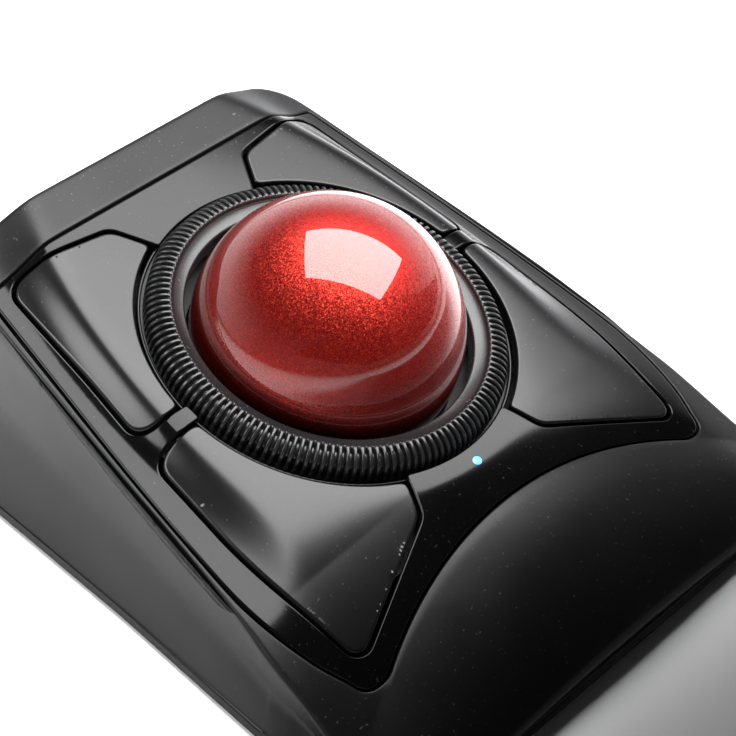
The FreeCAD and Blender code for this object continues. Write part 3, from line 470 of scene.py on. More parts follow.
# ---------------------------------------------------------------- meshes
def grid_faces(rows: int, columns: int, close_rows: bool, close_columns: bool) -> np.ndarray:
    """Four-sided faces of a grid of points numbered row by row.

    Args:
        rows: Number of rows.
        columns: Number of columns.
        close_rows: Whether the last row joins the first.
        close_columns: Whether the last column joins the first.

    Returns:
        One row of four point numbers for each face.
    """
    i = np.arange(rows if close_rows else rows - 1)[:, None]
    j = np.arange(columns if close_columns else columns - 1)[None, :]
    up, right = (i + 1) % rows, (j + 1) % columns
    corners = [i * columns + j, i * columns + right, up * columns + right, up * columns + j]
    return np.stack([np.broadcast_to(c, (i.size, j.size)) for c in corners], -1).reshape(-1, 4)


def signed_volume(points: np.ndarray, faces: list[np.ndarray]) -> float:
    """Volume inside a closed mesh: a sixth of each triangle's triple product, summed.

    Args:
        points: The mesh's points.
        faces: Arrays of three- or four-sided faces.

    Returns:
        The volume, negative when the faces point inwards.
    """
    total = 0.0
    for group in faces:
        for k in range(1, group.shape[1] - 1):
            a, b, c = points[group[:, 0]], points[group[:, k]], points[group[:, k + 1]]
            total += float(np.sum(a * np.cross(b, c))) / 6
    return total


@dataclass
class Surface:
    """Points in the row frame and the faces between them."""

    points: np.ndarray
    faces: list[np.ndarray]

    @classmethod
    def of_grid(cls, grid: np.ndarray, close_rows: bool, close_columns: bool) -> "Surface":
        """A surface on a grid of points.

        Args:
            grid: Rows by columns by three, in the row frame.
            close_rows: Whether the last row joins the first.
            close_columns: Whether the last column joins the first.

        Returns:
            The surface.
        """
        rows, columns = grid.shape[:2]
        faces = grid_faces(rows, columns, close_rows, close_columns)
        return cls(grid.reshape(-1, 3), [faces])

    def outward(self) -> "Surface":
        """The same surface with every face turned to point out of it.

        Returns:
            The surface.
        """
        if signed_volume(self.points - self.points.mean(axis=0), self.faces) < 0:
            return Surface(self.points, [group[:, ::-1] for group in self.faces])
        return self

    def piece(self, name: str) -> bpy.types.Object:
        """Make the mesh object, smoothly shaded, at the origin.

        Args:
            name: Name of the piece.

        Returns:
            The new object.
        """
        mesh = bpy.data.meshes.new(name)
        faces = [face for group in self.faces for face in group.tolist()]
        mesh.from_pydata(self.points.tolist(), [], faces)
        mesh.shade_smooth()
        mesh.validate()
        made = bpy.data.objects.new(name, mesh)
        bpy.context.scene.collection.objects.link(made)
        return made

    def weighted_piece(self, name: str) -> bpy.types.Object:
        """Make the mesh object with shading that weighs each face by its area, so that
        the thin triangles beside an outline don't show.

        Args:
            name: Name of the piece.

        Returns:
            The new object.
        """
        made = self.piece(name)
        weights = made.modifiers.new("face_weights", "WEIGHTED_NORMAL")
        weights.mode = "FACE_AREA"
        return made


@dataclass(frozen=True)
class Plate:
    """A moulded plate of even thickness under a height field, its top edges rounded."""

    height: HeightField
    thickness: float
    edge_radius: float
    flat_reach: float = 0.22
    edge_steps: int = 8
    grid_step: float = 0.5
    clearance: float = 0.6

    def profile(self) -> np.ndarray:
        """The edge's section: (inset, drop) from under the plate, up its wall and round a
        quarter circle to the top, then a little way in over the flat.

        Returns:
            One row for each point of the section.
        """
        turn = np.linspace(0.0, math.pi / 2, self.edge_steps)
        r = self.edge_radius
        low = np.array([[r, self.thickness], [0.0, self.thickness]])
        bend = np.stack([r - r * np.cos(turn), r - r * np.sin(turn)], axis=1)
        flat = np.array([[r + self.flat_reach / 2, 0.0], [r + self.flat_reach, 0.0]])
        return np.vstack([low, bend, flat])

    def filling(self, edges: list[Loop]) -> tuple[np.ndarray, np.ndarray]:
        """Cover the material between the loops with triangles: a square grid of points
        clear of the loops, joined to them by a constrained triangulation.

        Args:
            edges: The loops where the flat part begins.

        Returns:
            Grid points, and triangles that number the loops' points before the grid's.
        """
        outline = np.vstack([edge.points for edge in edges])
        low, high = outline.min(axis=0), outline.max(axis=0)
        axes = [np.arange(low[k], high[k], self.grid_step) for k in (0, 1)]
        places = np.stack(np.meshgrid(*axes), axis=-1).reshape(-1, 2)
        places = places[inside(edges, places, self.clearance * self.grid_step)]
        links, first = [], 0
        for edge in edges:
            at = np.arange(len(edge.points))
            links.append(np.stack([at, (at + 1) % len(at)], axis=1) + first)
            first += len(at)
        links = np.vstack(links)
        every = np.vstack([outline, places])
        made = delaunay_2d_cdt(every.tolist(), links.tolist(), [], 0, 1e-6)
        number = np.array([ids[0] for ids in made[3]])
        triangles = number[np.array(made[2])]
        following = np.full(len(every), -1)
        following[links[:, 0]] = links[:, 1]
        ahead = np.roll(triangles, -1, axis=1)
        left = np.any(following[triangles] == ahead, axis=1)
        right = np.any(following[ahead] == triangles, axis=1)
        within = inside(edges, every[triangles].mean(axis=1), 0.0)
        return places, triangles[np.where(left | right, left, within)]

    def surface(self, loops: list[Loop]) -> Surface:
        """Carry the edge's section round every loop and close its top and underside.

        Args:
            loops: The plate's edge, then its holes.

        Returns:
            The closed plate in the row frame.
        """
        profile = self.profile()
        points, quads, numbers, edges = [], [], [], []
        first = 0
        for loop in loops:
            rows = [loop.eased(inset).points for inset, _ in profile]
            for row, (_, drop) in zip(rows, profile):
                w = self.height(row[:, 0], row[:, 1]) - drop
                points.append(np.column_stack([row, w]))
            count = len(loop.points)
            quads.append(grid_faces(len(profile), count, False, True) + first)
            numbers.append(first + np.arange(count))
            edges.append(Loop(rows[-1]))
            first += len(profile) * count
        places, triangles = self.filling(edges)
        w = self.height(places[:, 0], places[:, 1])
        under = np.concatenate(numbers + [first + np.arange(len(places))])
        lift = [np.full(len(n), (len(profile) - 1) * len(n)) for n in numbers]
        lift.append(np.full(len(places), len(places)))
        over = under + np.concatenate(lift)
        points.append(np.column_stack([places, w - self.thickness]))
        points.append(np.column_stack([places, w]))
        a, b, c = (every_corner(places, edges, triangles[:, k]) for k in range(3))
        clockwise = np.cross(b - a, c - a) < 0
        triangles[clockwise] = triangles[clockwise][:, ::-1]
        faces = [np.vstack(quads), over[triangles], under[triangles][:, ::-1]]
        return Surface(FORM.to_world(np.vstack(points)), faces).outward()


def every_corner(places: np.ndarray, edges: list[Loop], numbers: np.ndarray) -> np.ndarray:
    """Flat positions of triangle corners numbered loops first, grid points after."""
    return np.vstack([edge.points for edge in edges] + [places])[numbers]


# ---------------------------------------------------------------- shader helpers
class Shader:
    """A node tree that is being put together, either a material's or a group's."""

    def __init__(self, tree: bpy.types.NodeTree) -> None:
        """Start with the tree's own nodes removed."""
        self.tree = tree
        tree.nodes.clear()

    def node(self, kind: str, **settings: object) -> bpy.types.Node:
        """Add a node.

        Args:
            kind: The node's type.
            settings: Properties to set on it.

        Returns:
            The node.
        """
        made = self.tree.nodes.new(kind)
        for name, value in settings.items():
            setattr(made, name, value)
        return made

    def feed(self, socket: bpy.types.NodeSocket, source: object) -> None:
        """Link a socket to another, or set its value.

        Args:
            socket: The socket that is fed.
            source: An output socket or a value.
        """
        if isinstance(source, bpy.types.NodeSocket):
            self.tree.links.new(source, socket)
        else:
            socket.default_value = source

    def math(self, operation: str, *values: object, clamp: bool = False) -> bpy.types.NodeSocket:
        """The result of one sum.

        Args:
            operation: The sum's name.
            values: Values or sockets.
            clamp: Whether the result is held between nought and one.

        Returns:
            The result's socket.
        """
        made = self.node("ShaderNodeMath", operation=operation, use_clamp=clamp)
        for socket, value in zip(made.inputs, values):
            self.feed(socket, value)
        return made.outputs[0]

    def mix(self, factor: object, one: object, other: object) -> bpy.types.NodeSocket:
        """One colour changing to the other as the factor rises.

        Args:
            factor: A value or socket.
            one: The first colour.
            other: The second colour.

        Returns:
            The colour's socket.
        """
        made = self.node("ShaderNodeMix", data_type="RGBA")
        self.feed(made.inputs["Factor"], factor)
        for socket, value in zip((made.inputs[6], made.inputs[7]), (one, other)):
            self.feed(socket, (*value, 1.0) if isinstance(value, tuple) else value)
        return made.outputs[2]

    def span(self, value: object, low: float, high: float, to_low: float,
             to_high: float) -> bpy.types.NodeSocket:
        """Map a range of values to another, held at its ends.

        Args:
            value: A socket.
            low: Where the range begins.
            high: Where it ends.
            to_low: What low becomes.
            to_high: What high becomes.

        Returns:
            The mapped value's socket.
        """
        made = self.node("ShaderNodeMapRange", clamp=True)
        for socket, source in zip(made.inputs, (value, low, high, to_low, to_high)):
            self.feed(socket, source)
        return made.outputs[0]

    def noise(self, vector: object, scale: object, detail: float) -> bpy.types.NodeSocket:
        """A noise value over the surface.

        Args:
            vector: Where it is read.
            scale: Its scale, a value or a socket.
            detail: How many octaves it has.

        Returns:
            The value's socket.
        """
        made = self.node("ShaderNodeTexNoise")
        self.feed(made.inputs["Vector"], vector)
        self.feed(made.inputs["Scale"], scale)
        made.inputs["Detail"].default_value = detail
        return made.outputs["Fac"]

    def place(self) -> bpy.types.NodeSocket:
        """Object coordinates."""
        return self.node("ShaderNodeTexCoord").outputs["Object"]


class Effects:
    """The node groups that several finishes share, each built once."""

    made: dict[str, bpy.types.NodeTree] = {}

    @classmethod
    def group(cls, name: str, inputs: dict[str, float], outputs: tuple[str, ...]) -> Shader:
        """Start a group with named values in and out.

        Args:
            name: The group's name.
            inputs: Names and starting values of what goes in.
            outputs: Names of what comes out.

        Returns:
            The group's tree.
        """
        tree = bpy.data.node_groups.new(name, "ShaderNodeTree")
        for label, value in inputs.items():
            socket = tree.interface.new_socket(label, in_out="INPUT", socket_type="NodeSocketFloat")
            socket.default_value = value
        for label in outputs:
            tree.interface.new_socket(label, in_out="OUTPUT", socket_type="NodeSocketFloat")
        cls.made[name] = tree
        return Shader(tree)

    @classmethod
    def moulded_grain(cls) -> bpy.types.NodeTree:
        """Fine spark-eroded grain: noise at two sizes.  Height is their weighted sum, and
        Polish falls where the coarse noise is low.

        Returns:
            The group.
        """
        if "moulded_grain" not in cls.made:
            s = cls.group("moulded_grain", {"Scale": 2500.0, "Spread": 0.1}, ("Height", "Polish"))
            given = s.node("NodeGroupInput").outputs
            place = s.place()
            fine = s.noise(place, given["Scale"], 2.0)
            broad = s.noise(place, s.math("MULTIPLY", given["Scale"], 0.035), 3.0)
            end = s.node("NodeGroupOutput").inputs
            s.feed(end["Height"], s.math("MULTIPLY_ADD", broad, 0.25, fine))
            spread = s.math("SUBTRACT", broad, 0.5)
            s.feed(end["Polish"], s.math("MULTIPLY", spread, given["Spread"]))
        return cls.made["moulded_grain"]

    @classmethod
    def handling(cls) -> bpy.types.NodeTree:
        """Signs of use.  Smudge is broad streaky noise, Dust is a sparse speckle that
        settles where the surface faces up, and Edge is high on worn convex edges.

        Returns:
            The group.
        """
        if "handling" not in cls.made:
            s = cls.group("handling", {"Amount": 1.0}, ("Smudge", "Dust", "Edge"))
            given = s.node("NodeGroupInput").outputs
            place = s.place()
            streak = s.node("ShaderNodeMapping")
            s.feed(streak.inputs["Vector"], place)
            streak.inputs["Scale"].default_value = (60.0, 25.0, 40.0)
            smudge = s.span(s.noise(streak.outputs[0], 1.0, 5.0), 0.45, 0.75, 0.0, 1.0)
            speck = s.span(s.noise(place, 1400.0, 1.0), 0.7, 0.8, 0.0, 1.0)
            shape = s.node("ShaderNodeNewGeometry")
            up = s.node("ShaderNodeSeparateXYZ")
            s.feed(up.inputs[0], shape.outputs["Normal"])
            dust = s.math("MULTIPLY", speck, s.span(up.outputs["Z"], 0.3, 1.0, 0.0, 1.0))
            edge = s.span(shape.outputs["Pointiness"], 0.53, 0.6, 0.0, 1.0)
            chips = s.span(s.noise(place, 500.0, 3.0), 0.35, 0.65, 0.2, 1.0)
            end = s.node("NodeGroupOutput").inputs
            amount = given["Amount"]
            s.feed(end["Smudge"], s.math("MULTIPLY", smudge, amount))
            s.feed(end["Dust"], s.math("MULTIPLY", dust, amount))
            s.feed(end["Edge"], s.math("MULTIPLY", s.math("MULTIPLY", edge, chips), amount))
        return cls.made["handling"]


# ---------------------------------------------------------------- finishes
@dataclass(frozen=True)
class Finish:
    """A moulded, painted or metal finish with grain, smudges, dust and worn edges."""

    name: str
    color: tuple[float, float, float]
    roughness: float
    metallic: float = 0.0
    coat: float = 0.0
    coat_roughness: float = 0.03
    specular: float = 0.5
    grain: float = 2500.0
    relief: float = 0.004
    spread: float = 0.1
    use: float = 0.6
    shift: float = 0.25
    dust: tuple[float, float, float] = (0.42, 0.41, 0.4)
    dust_share: float = 0.25
    worn_share: float = 0.6
    smudge_dulling: float = 0.06
    dust_dulling: float = 0.25
    drift_scale: float = 45.0

    def start(self) -> tuple[bpy.types.Material, Shader, bpy.types.Node]:
        """Make the material and its shader.

        Returns:
            The material, its tree and its Principled node.
        """
        material = bpy.data.materials.new(self.name)
        material.use_nodes = True
        shader = Shader(material.node_tree)
        surface = shader.node("ShaderNodeBsdfPrincipled")
        out = shader.node("ShaderNodeOutputMaterial")
        shader.feed(out.inputs["Surface"], surface.outputs[0])
        surface.inputs["Metallic"].default_value = self.metallic
        surface.inputs["Coat Weight"].default_value = self.coat
        surface.inputs["Coat Roughness"].default_value = self.coat_roughness
        surface.inputs["Specular IOR Level"].default_value = self.specular
        return material, shader, surface

    def tint(self, s: Shader, use: bpy.types.Node) -> bpy.types.NodeSocket:
        """Colour over the surface: a slow drift, lightened by dust and on worn edges.

        Args:
            s: The tree.
            use: The handling group's node.

        Returns:
            The colour.
        """
        drift = s.noise(s.place(), self.drift_scale, 4.0)
        lighter = tuple(min(c * (1 + self.shift) + 0.002, 1.0) for c in self.color)
        darker = tuple(c * (1 - self.shift) for c in self.color)
        body = s.mix(drift, darker, lighter)
        worn = tuple(min(c * 2.2 + 0.02, 1.0) for c in self.color)
        edged = s.mix(s.math("MULTIPLY", use.outputs["Edge"], self.worn_share), body, worn)
        dusty = s.math("MULTIPLY", use.outputs["Dust"], self.dust_share)
        return s.mix(dusty, edged, self.dust)

    def relief_height(self, s: Shader, grain: bpy.types.Node) -> bpy.types.NodeSocket:
        """The height that the bump follows."""
        return grain.outputs["Height"]

    def build(self) -> bpy.types.Material:
        """Put the whole material together.

        Returns:
            The material.
        """
        material, s, surface = self.start()
        grain = s.node("ShaderNodeGroup", node_tree=Effects.moulded_grain())
        grain.inputs["Scale"].default_value = self.grain
        grain.inputs["Spread"].default_value = self.spread
        use = s.node("ShaderNodeGroup", node_tree=Effects.handling())
        use.inputs["Amount"].default_value = self.use
        s.feed(surface.inputs["Base Color"], self.tint(s, use))
        rough = s.math("ADD", grain.outputs["Polish"], self.roughness)
        for sign, dulling in (("Smudge", self.smudge_dulling), ("Dust", self.dust_dulling)):
            rough = s.math("MULTIPLY_ADD", use.outputs[sign], dulling, rough, clamp=True)
        s.feed(surface.inputs["Roughness"], rough)
        bump = s.node("ShaderNodeBump")
        bump.inputs["Strength"].default_value = 1.0
        bump.inputs["Distance"].default_value = self.relief * MM
        s.feed(bump.inputs["Height"], self.relief_height(s, grain))
        s.feed(surface.inputs["Normal"], bump.outputs[0])
        self.extra(s, surface)
        return material

    def extra(self, s: Shader, surface: bpy.types.Node) -> None:
        """What a kind of finish adds; nothing here."""


@dataclass(frozen=True)
class FlakeLacquer(Finish):
    """Deep metal-flake colour under a thick clear coat: each small cell is a flake with
    its own brightness and its own lean."""

    bright: tuple[float, float, float] = (0.75, 0.06, 0.02)
    flake: float = 7000.0
    lean: float = 0.36
    bright_share: float = 0.5
    rough_spread: float = 0.14

    def cells(self, s: Shader) -> bpy.types.Node:
        """The cell pattern that stands for the flakes.

        Args:
            s: The tree.

        Returns:
            The pattern's node.
        """
        cells = s.node("ShaderNodeTexVoronoi")
        s.feed(cells.inputs["Vector"], s.place())
        cells.inputs["Scale"].default_value = self.flake
        return cells

    def build(self) -> bpy.types.Material:
        """Colour mixes towards the bright one in some flakes, and the normal leans by
        each flake's own random vector.

        Returns:
            The material.
        """
        material, s, surface = self.start()
        cells = self.cells(s)
        part = s.node("ShaderNodeSeparateColor")
        s.feed(part.inputs[0], cells.outputs["Color"])
        drift = s.noise(s.place(), 60.0, 3.0)
        base = s.mix(drift, tuple(0.8 * c for c in self.color), tuple(1.15 * c for c in self.color))
        share = s.math("MULTIPLY", s.math("POWER", part.outputs[0], 3.0), self.bright_share)
        s.feed(surface.inputs["Base Color"], s.mix(share, base, self.bright))
        rough = s.math("MULTIPLY_ADD", part.outputs[1], self.rough_spread, self.roughness)
        s.feed(surface.inputs["Roughness"], rough)
        centred = s.node("ShaderNodeVectorMath", operation="SUBTRACT")
        s.feed(centred.inputs[0], cells.outputs["Color"])
        centred.inputs[1].default_value = (0.5, 0.5, 0.5)
        leaning = s.node("ShaderNodeVectorMath", operation="SCALE")
        s.feed(leaning.inputs[0], centred.outputs[0])
        leaning.inputs["Scale"].default_value = self.lean
        added = s.node("ShaderNodeVectorMath", operation="ADD")
        s.feed(added.inputs[0], leaning.outputs[0])
        s.feed(added.inputs[1], s.node("ShaderNodeNewGeometry").outputs["Normal"])
        unit = s.node("ShaderNodeVectorMath", operation="NORMALIZE")
        s.feed(unit.inputs[0], added.outputs[0])
        s.feed(surface.inputs["Normal"], unit.outputs[0])
        return material


@dataclass(frozen=True)
class ClearMoulding(Finish):
    """Clear plastic with faint flow marks."""

    clearness: float = 0.85

    def extra(self, s: Shader, surface: bpy.types.Node) -> None:
        """Let light through."""
        surface.inputs["Transmission Weight"].default_value = self.clearness


@dataclass(frozen=True)
class Lamp(Finish):
    """A lit lens: light that is strongest in slow patches, as through a moulded pipe."""

    glow: tuple[float, float, float] = (0.05, 0.3, 1.0)
    power: float = 6.0

    def extra(self, s: Shader, surface: bpy.types.Node) -> None:
        """Add the light.

        Args:
            s: The tree.
            surface: Its Principled node.
        """
        patch = s.span(s.noise(s.place(), 900.0, 2.0), 0.3, 0.7, 0.0, 1.0)
        dim = tuple(0.7 * c for c in self.glow)
        s.feed(surface.inputs["Emission Color"], s.mix(patch, dim, self.glow))
        surface.inputs["Emission Strength"].default_value = self.power


@dataclass(frozen=True)
class TurnedMetal(Finish):
    """Metal with fine drawn lines along one axis."""

    lines: tuple[float, float, float] = (300.0, 9000.0, 9000.0)

    def relief_height(self, s: Shader, grain: bpy.types.Node) -> bpy.types.NodeSocket:
        """Noise stretched along the drawing direction, added to the grain.

        Args:
            s: The tree.
            grain: The grain group's node.

        Returns:
            The height.
        """
        stretched = s.node("ShaderNodeMapping")
        s.feed(stretched.inputs["Vector"], s.place())
        stretched.inputs["Scale"].default_value = self.lines
        drawn = s.noise(stretched.outputs[0], 1.0, 2.0)
        return s.math("MULTIPLY_ADD", grain.outputs["Height"], 0.3, drawn)


@dataclass(frozen=True)
class CircuitBoard(Finish):
    """Green solder mask over copper tracks on a square pattern."""

    track: tuple[float, float, float] = (0.08, 0.3, 0.12)
    pitch: float = 260.0

    def tint(self, s: Shader, use: bpy.types.Node) -> bpy.types.NodeSocket:
        """Tracks follow the borders of blocky cells.

        Args:
            s: The tree.
            use: The handling group's node; not used here.

        Returns:
            The colour.
        """
        blocks = s.node("ShaderNodeTexVoronoi", distance="CHEBYCHEV", feature="F1")
        s.feed(blocks.inputs["Vector"], s.place())
        blocks.inputs["Scale"].default_value = self.pitch
        line = s.span(blocks.outputs["Distance"], 0.36, 0.42, 0.0, 1.0)
        body = s.mix(s.noise(s.place(), 120.0, 3.0), self.color, tuple(1.4 * c for c in self.color))
        return s.mix(s.math("MULTIPLY", line, 0.7), body, self.track)


HOUSING = Finish("housing_matt_grey", (0.0045, 0.0045, 0.005), 0.34, grain=3200.0,
                 relief=0.008, spread=0.14, specular=0.2)
DECK_GLOSS = Finish("deck_gloss_black", (0.0012, 0.0012, 0.0014), 0.1, grain=600.0,
                    relief=0.0005, spread=0.05, use=0.25, specular=0.17)
BUTTON_GLOSS = Finish("button_gloss_grey", (0.003, 0.003, 0.0034), 0.24, grain=900.0,
                      relief=0.0007, spread=0.05, use=0.25, specular=0.3)
RING_SATIN = Finish("ring_satin_grey", (0.010, 0.010, 0.0108), 0.27, grain=3600.0,
                    relief=0.003, spread=0.1, use=0.6, specular=0.4)
BALL_RED = FlakeLacquer("ball_red_flake", (0.21, 0.0022, 0.003), 0.34, metallic=0.8, coat=1.0,
                        coat_roughness=0.012)
INNER = Finish("inner_black_moulding", (0.012, 0.012, 0.013), 0.55, relief=0.012, spread=0.2)
RUBBER = Finish("foot_rubber", (0.02, 0.02, 0.02), 0.78, grain=1800.0, relief=0.02, specular=0.3)
WHITE = Finish("white_moulding", (0.62, 0.62, 0.59), 0.4, relief=0.005)
STEEL = TurnedMetal("drawn_steel", (0.56, 0.56, 0.58), 0.24, metallic=1.0, relief=0.001)
ZINC = TurnedMetal("zinc_plated_screw", (0.36, 0.36, 0.38), 0.34, metallic=1.0, relief=0.002,
                   lines=(6000.0, 6000.0, 400.0))
NICKEL = TurnedMetal("nickel_contact", (0.66, 0.62, 0.55), 0.28, metallic=1.0, relief=0.001)
CERAMIC = Finish("bearing_ceramic", (0.8, 0.79, 0.75), 0.12, relief=0.0005, spread=0.03, coat=0.5)
BOARD = CircuitBoard("board_green_mask", (0.012, 0.075, 0.03), 0.32, relief=0.006, coat=0.3)
CHIP = Finish("chip_epoxy", (0.016, 0.016, 0.016), 0.5, grain=4200.0, relief=0.006, spread=0.2)
SWITCH = Finish("switch_moulding", (0.024, 0.024, 0.027), 0.42, relief=0.006)
LAMP = Lamp("lamp_blue", (0.02, 0.08, 0.5), 0.2, relief=0.001)
CLEAR = ClearMoulding("clear_moulding", (0.86, 0.9, 0.93), 0.06, relief=0.0005, spread=0.02)
CELL = Finish("cell_can_wrap", (0.06, 0.06, 0.08), 0.3, relief=0.001, coat=0.5, shift=0.5)

SLOT_FINISHES: dict[str, Finish] = {
    "housing_matt": HOUSING, "gloss_black": DECK_GLOSS, "button_gloss": BUTTON_GLOSS,
    "ring_satin": RING_SATIN, "ball_red": BALL_RED, "inner_plastic": INNER,
    "white_plastic": WHITE, "steel": STEEL, "zinc_screw": ZINC, "bearing_ceramic": CERAMIC,
    "board_green": BOARD, "chip_black": CHIP, "switch_black": SWITCH, "lamp_blue": LAMP,
    "clear_plastic": CLEAR, "cell_can": CELL, "contact_nickel": NICKEL, "foot_rubber": RUBBER,
}


class Paintbox:
    """Keeps one material for each finish and dresses pieces and CAD nodes with them."""

    def __init__(self) -> None:
        """Start empty."""
        self.materials: dict[str, bpy.types.Material] = {}

    def material(self, finish: Finish) -> bpy.types.Material:
        """The finish's material, built the first time it is asked for.

        Args:
            finish: The finish.

        Returns:
            Its material.
        """
        if finish.name not in self.materials:
            self.materials[finish.name] = finish.build()
        return self.materials[finish.name]

    def dress(self, piece: bpy.types.Object, finish: Finish) -> None:
        """Put one finish on a whole piece.

        Args:
            piece: A new piece or a CAD node.
            finish: What it is made of.
        """
        if piece.data.materials:
            for i in range(len(piece.data.materials)):
                piece.data.materials[i] = self.material(finish)
        else:
            piece.data.materials.append(self.material(finish))


PAINT = Paintbox()


def settle(piece: bpy.types.Object, body: Body, slot: str, *nodes: str) -> bpy.types.Object:
    """Let a finished piece ride on its body and stand for its CAD nodes.

    Args:
        piece: The piece.
        body: The body that it moves with.
        slot: The record's material slot.
        nodes: The CAD nodes that it replaces.

    Returns:
        The piece.
    """
    PAINT.dress(piece, SLOT_FINISHES[slot])
    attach(piece, body.value)
    if nodes:
        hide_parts(*nodes)
    return piece


# ---------------------------------------------------------------- sub-assemblies
@dataclass(frozen=True)
class Button:
    """One of the four large buttons, and the opening that the deck leaves for it."""

    side: Side
    row: Row
    thickness: float = 2.6
    edge_radius: float = 0.5
    step: float = 0.3
    soft_rounds: int = 20
    ring_corner: float = 0.5
    bridge_corner: float = 3.5
    tuck: float = 0.335
    beside: float = 0.77

    @property
    def key(self) -> str:
        """The button's name, which its node, body and piece share."""
        return f"button_{self.row.value}_{self.side.name.lower()}"

    @staticmethod
    def flank(v: float) -> float:
        """Half width of the deck inside its rim."""
        return float(FORM.side_edge(v)) - FORM.rim_width

    def corners(self) -> np.ndarray:
        """Corners of the right-hand outline, as (x, v, radius), before the ring's circle
        is taken out of it.

        Returns:
            One row for each corner.
        """
        ring, sharp, soft = FORM.button_inner, self.ring_corner, self.bridge_corner
        edge = self.flank
        half = FORM.bridge_width / 2 + FORM.button_gap
        if self.row is Row.BACK:
            near, back = FORM.bridge_mid + half, FORM.deck_back - 1.4
            middle = (back + near) / 2 - 4
            return np.array([
                (ring * self.tuck, ring * 0.83, sharp), (ring * 0.5, FORM.deck_back - 4.6, 3.0),
                (edge(back) + 1.4, back, soft), (edge(middle) + 0.3, middle, 120.0),
                (edge(near), near, soft), (ring * self.beside, near, sharp),
            ])
        near, front = FORM.bridge_mid - half, FORM.deck_tip + 5.0
        middle = (front + near) / 2
        return np.array([
            (ring * self.beside, near, sharp), (edge(near) + 0.4, near, soft),
            (edge(middle) - 0.4, middle, 110.0), (edge(front) + 0.8, front, 2.5),
            (ring * 0.475, FORM.deck_front + 7.1, 4.0),
            (ring * self.tuck, -ring * self.beside, sharp),
        ])

    def outline(self, grow: float) -> Loop:
        """The outline, mirrored for the left, grown outwards and running anticlockwise.

        Args:
            grow: How far it is grown.

        Returns:
            The loop, with the ring's circle not yet taken out.
        """
        points = rounded_polygon(self.corners(), 24) * np.array([self.side.value, 1.0])
        return Loop(points).turned(True).even(self.step).inset(-grow)

    def sector(self, grow: float, radius: float) -> np.ndarray:
        """The grown outline outside a circle, ordered anticlockwise about the ball.

        Args:
            grow: How far the outline is grown.
            radius: The circle's radius.

        Returns:
            The stretch's points.
        """
        run = self.outline(grow).run_outside(radius)
        middle = math.atan2(run[:, 1].mean(), run[:, 0].mean())
        lean = np.angle(np.exp(1j * (np.arctan2(run[:, 1], run[:, 0]) - middle)))
        return run if lean[0] < lean[-1] else run[::-1]

    def loop(self) -> Loop:
        """The button's own edge: its sector closed by an arc round the ring.

        Returns:
            The loop.
        """
        run = self.sector(0.0, FORM.button_inner)
        start, end = np.arctan2(run[[-1, 0], 1], run[[-1, 0], 0])
        if start < end:
            start += FULL_TURN
        arc = circle_arc(FORM.button_inner, start, end)
        return Loop(np.vstack([run, arc])).turned(True).even(self.step).soft(self.soft_rounds)

    def build(self) -> bpy.types.Object:
        """Make the button: a plate under the deck's height field.

        Returns:
            The piece.
        """
        plate = Plate(FORM.height, self.thickness, self.edge_radius)
        piece = plate.surface([self.loop()]).weighted_piece(f"{self.key}_cap")
        return settle(piece, Body(self.key), "button_gloss", self.key)


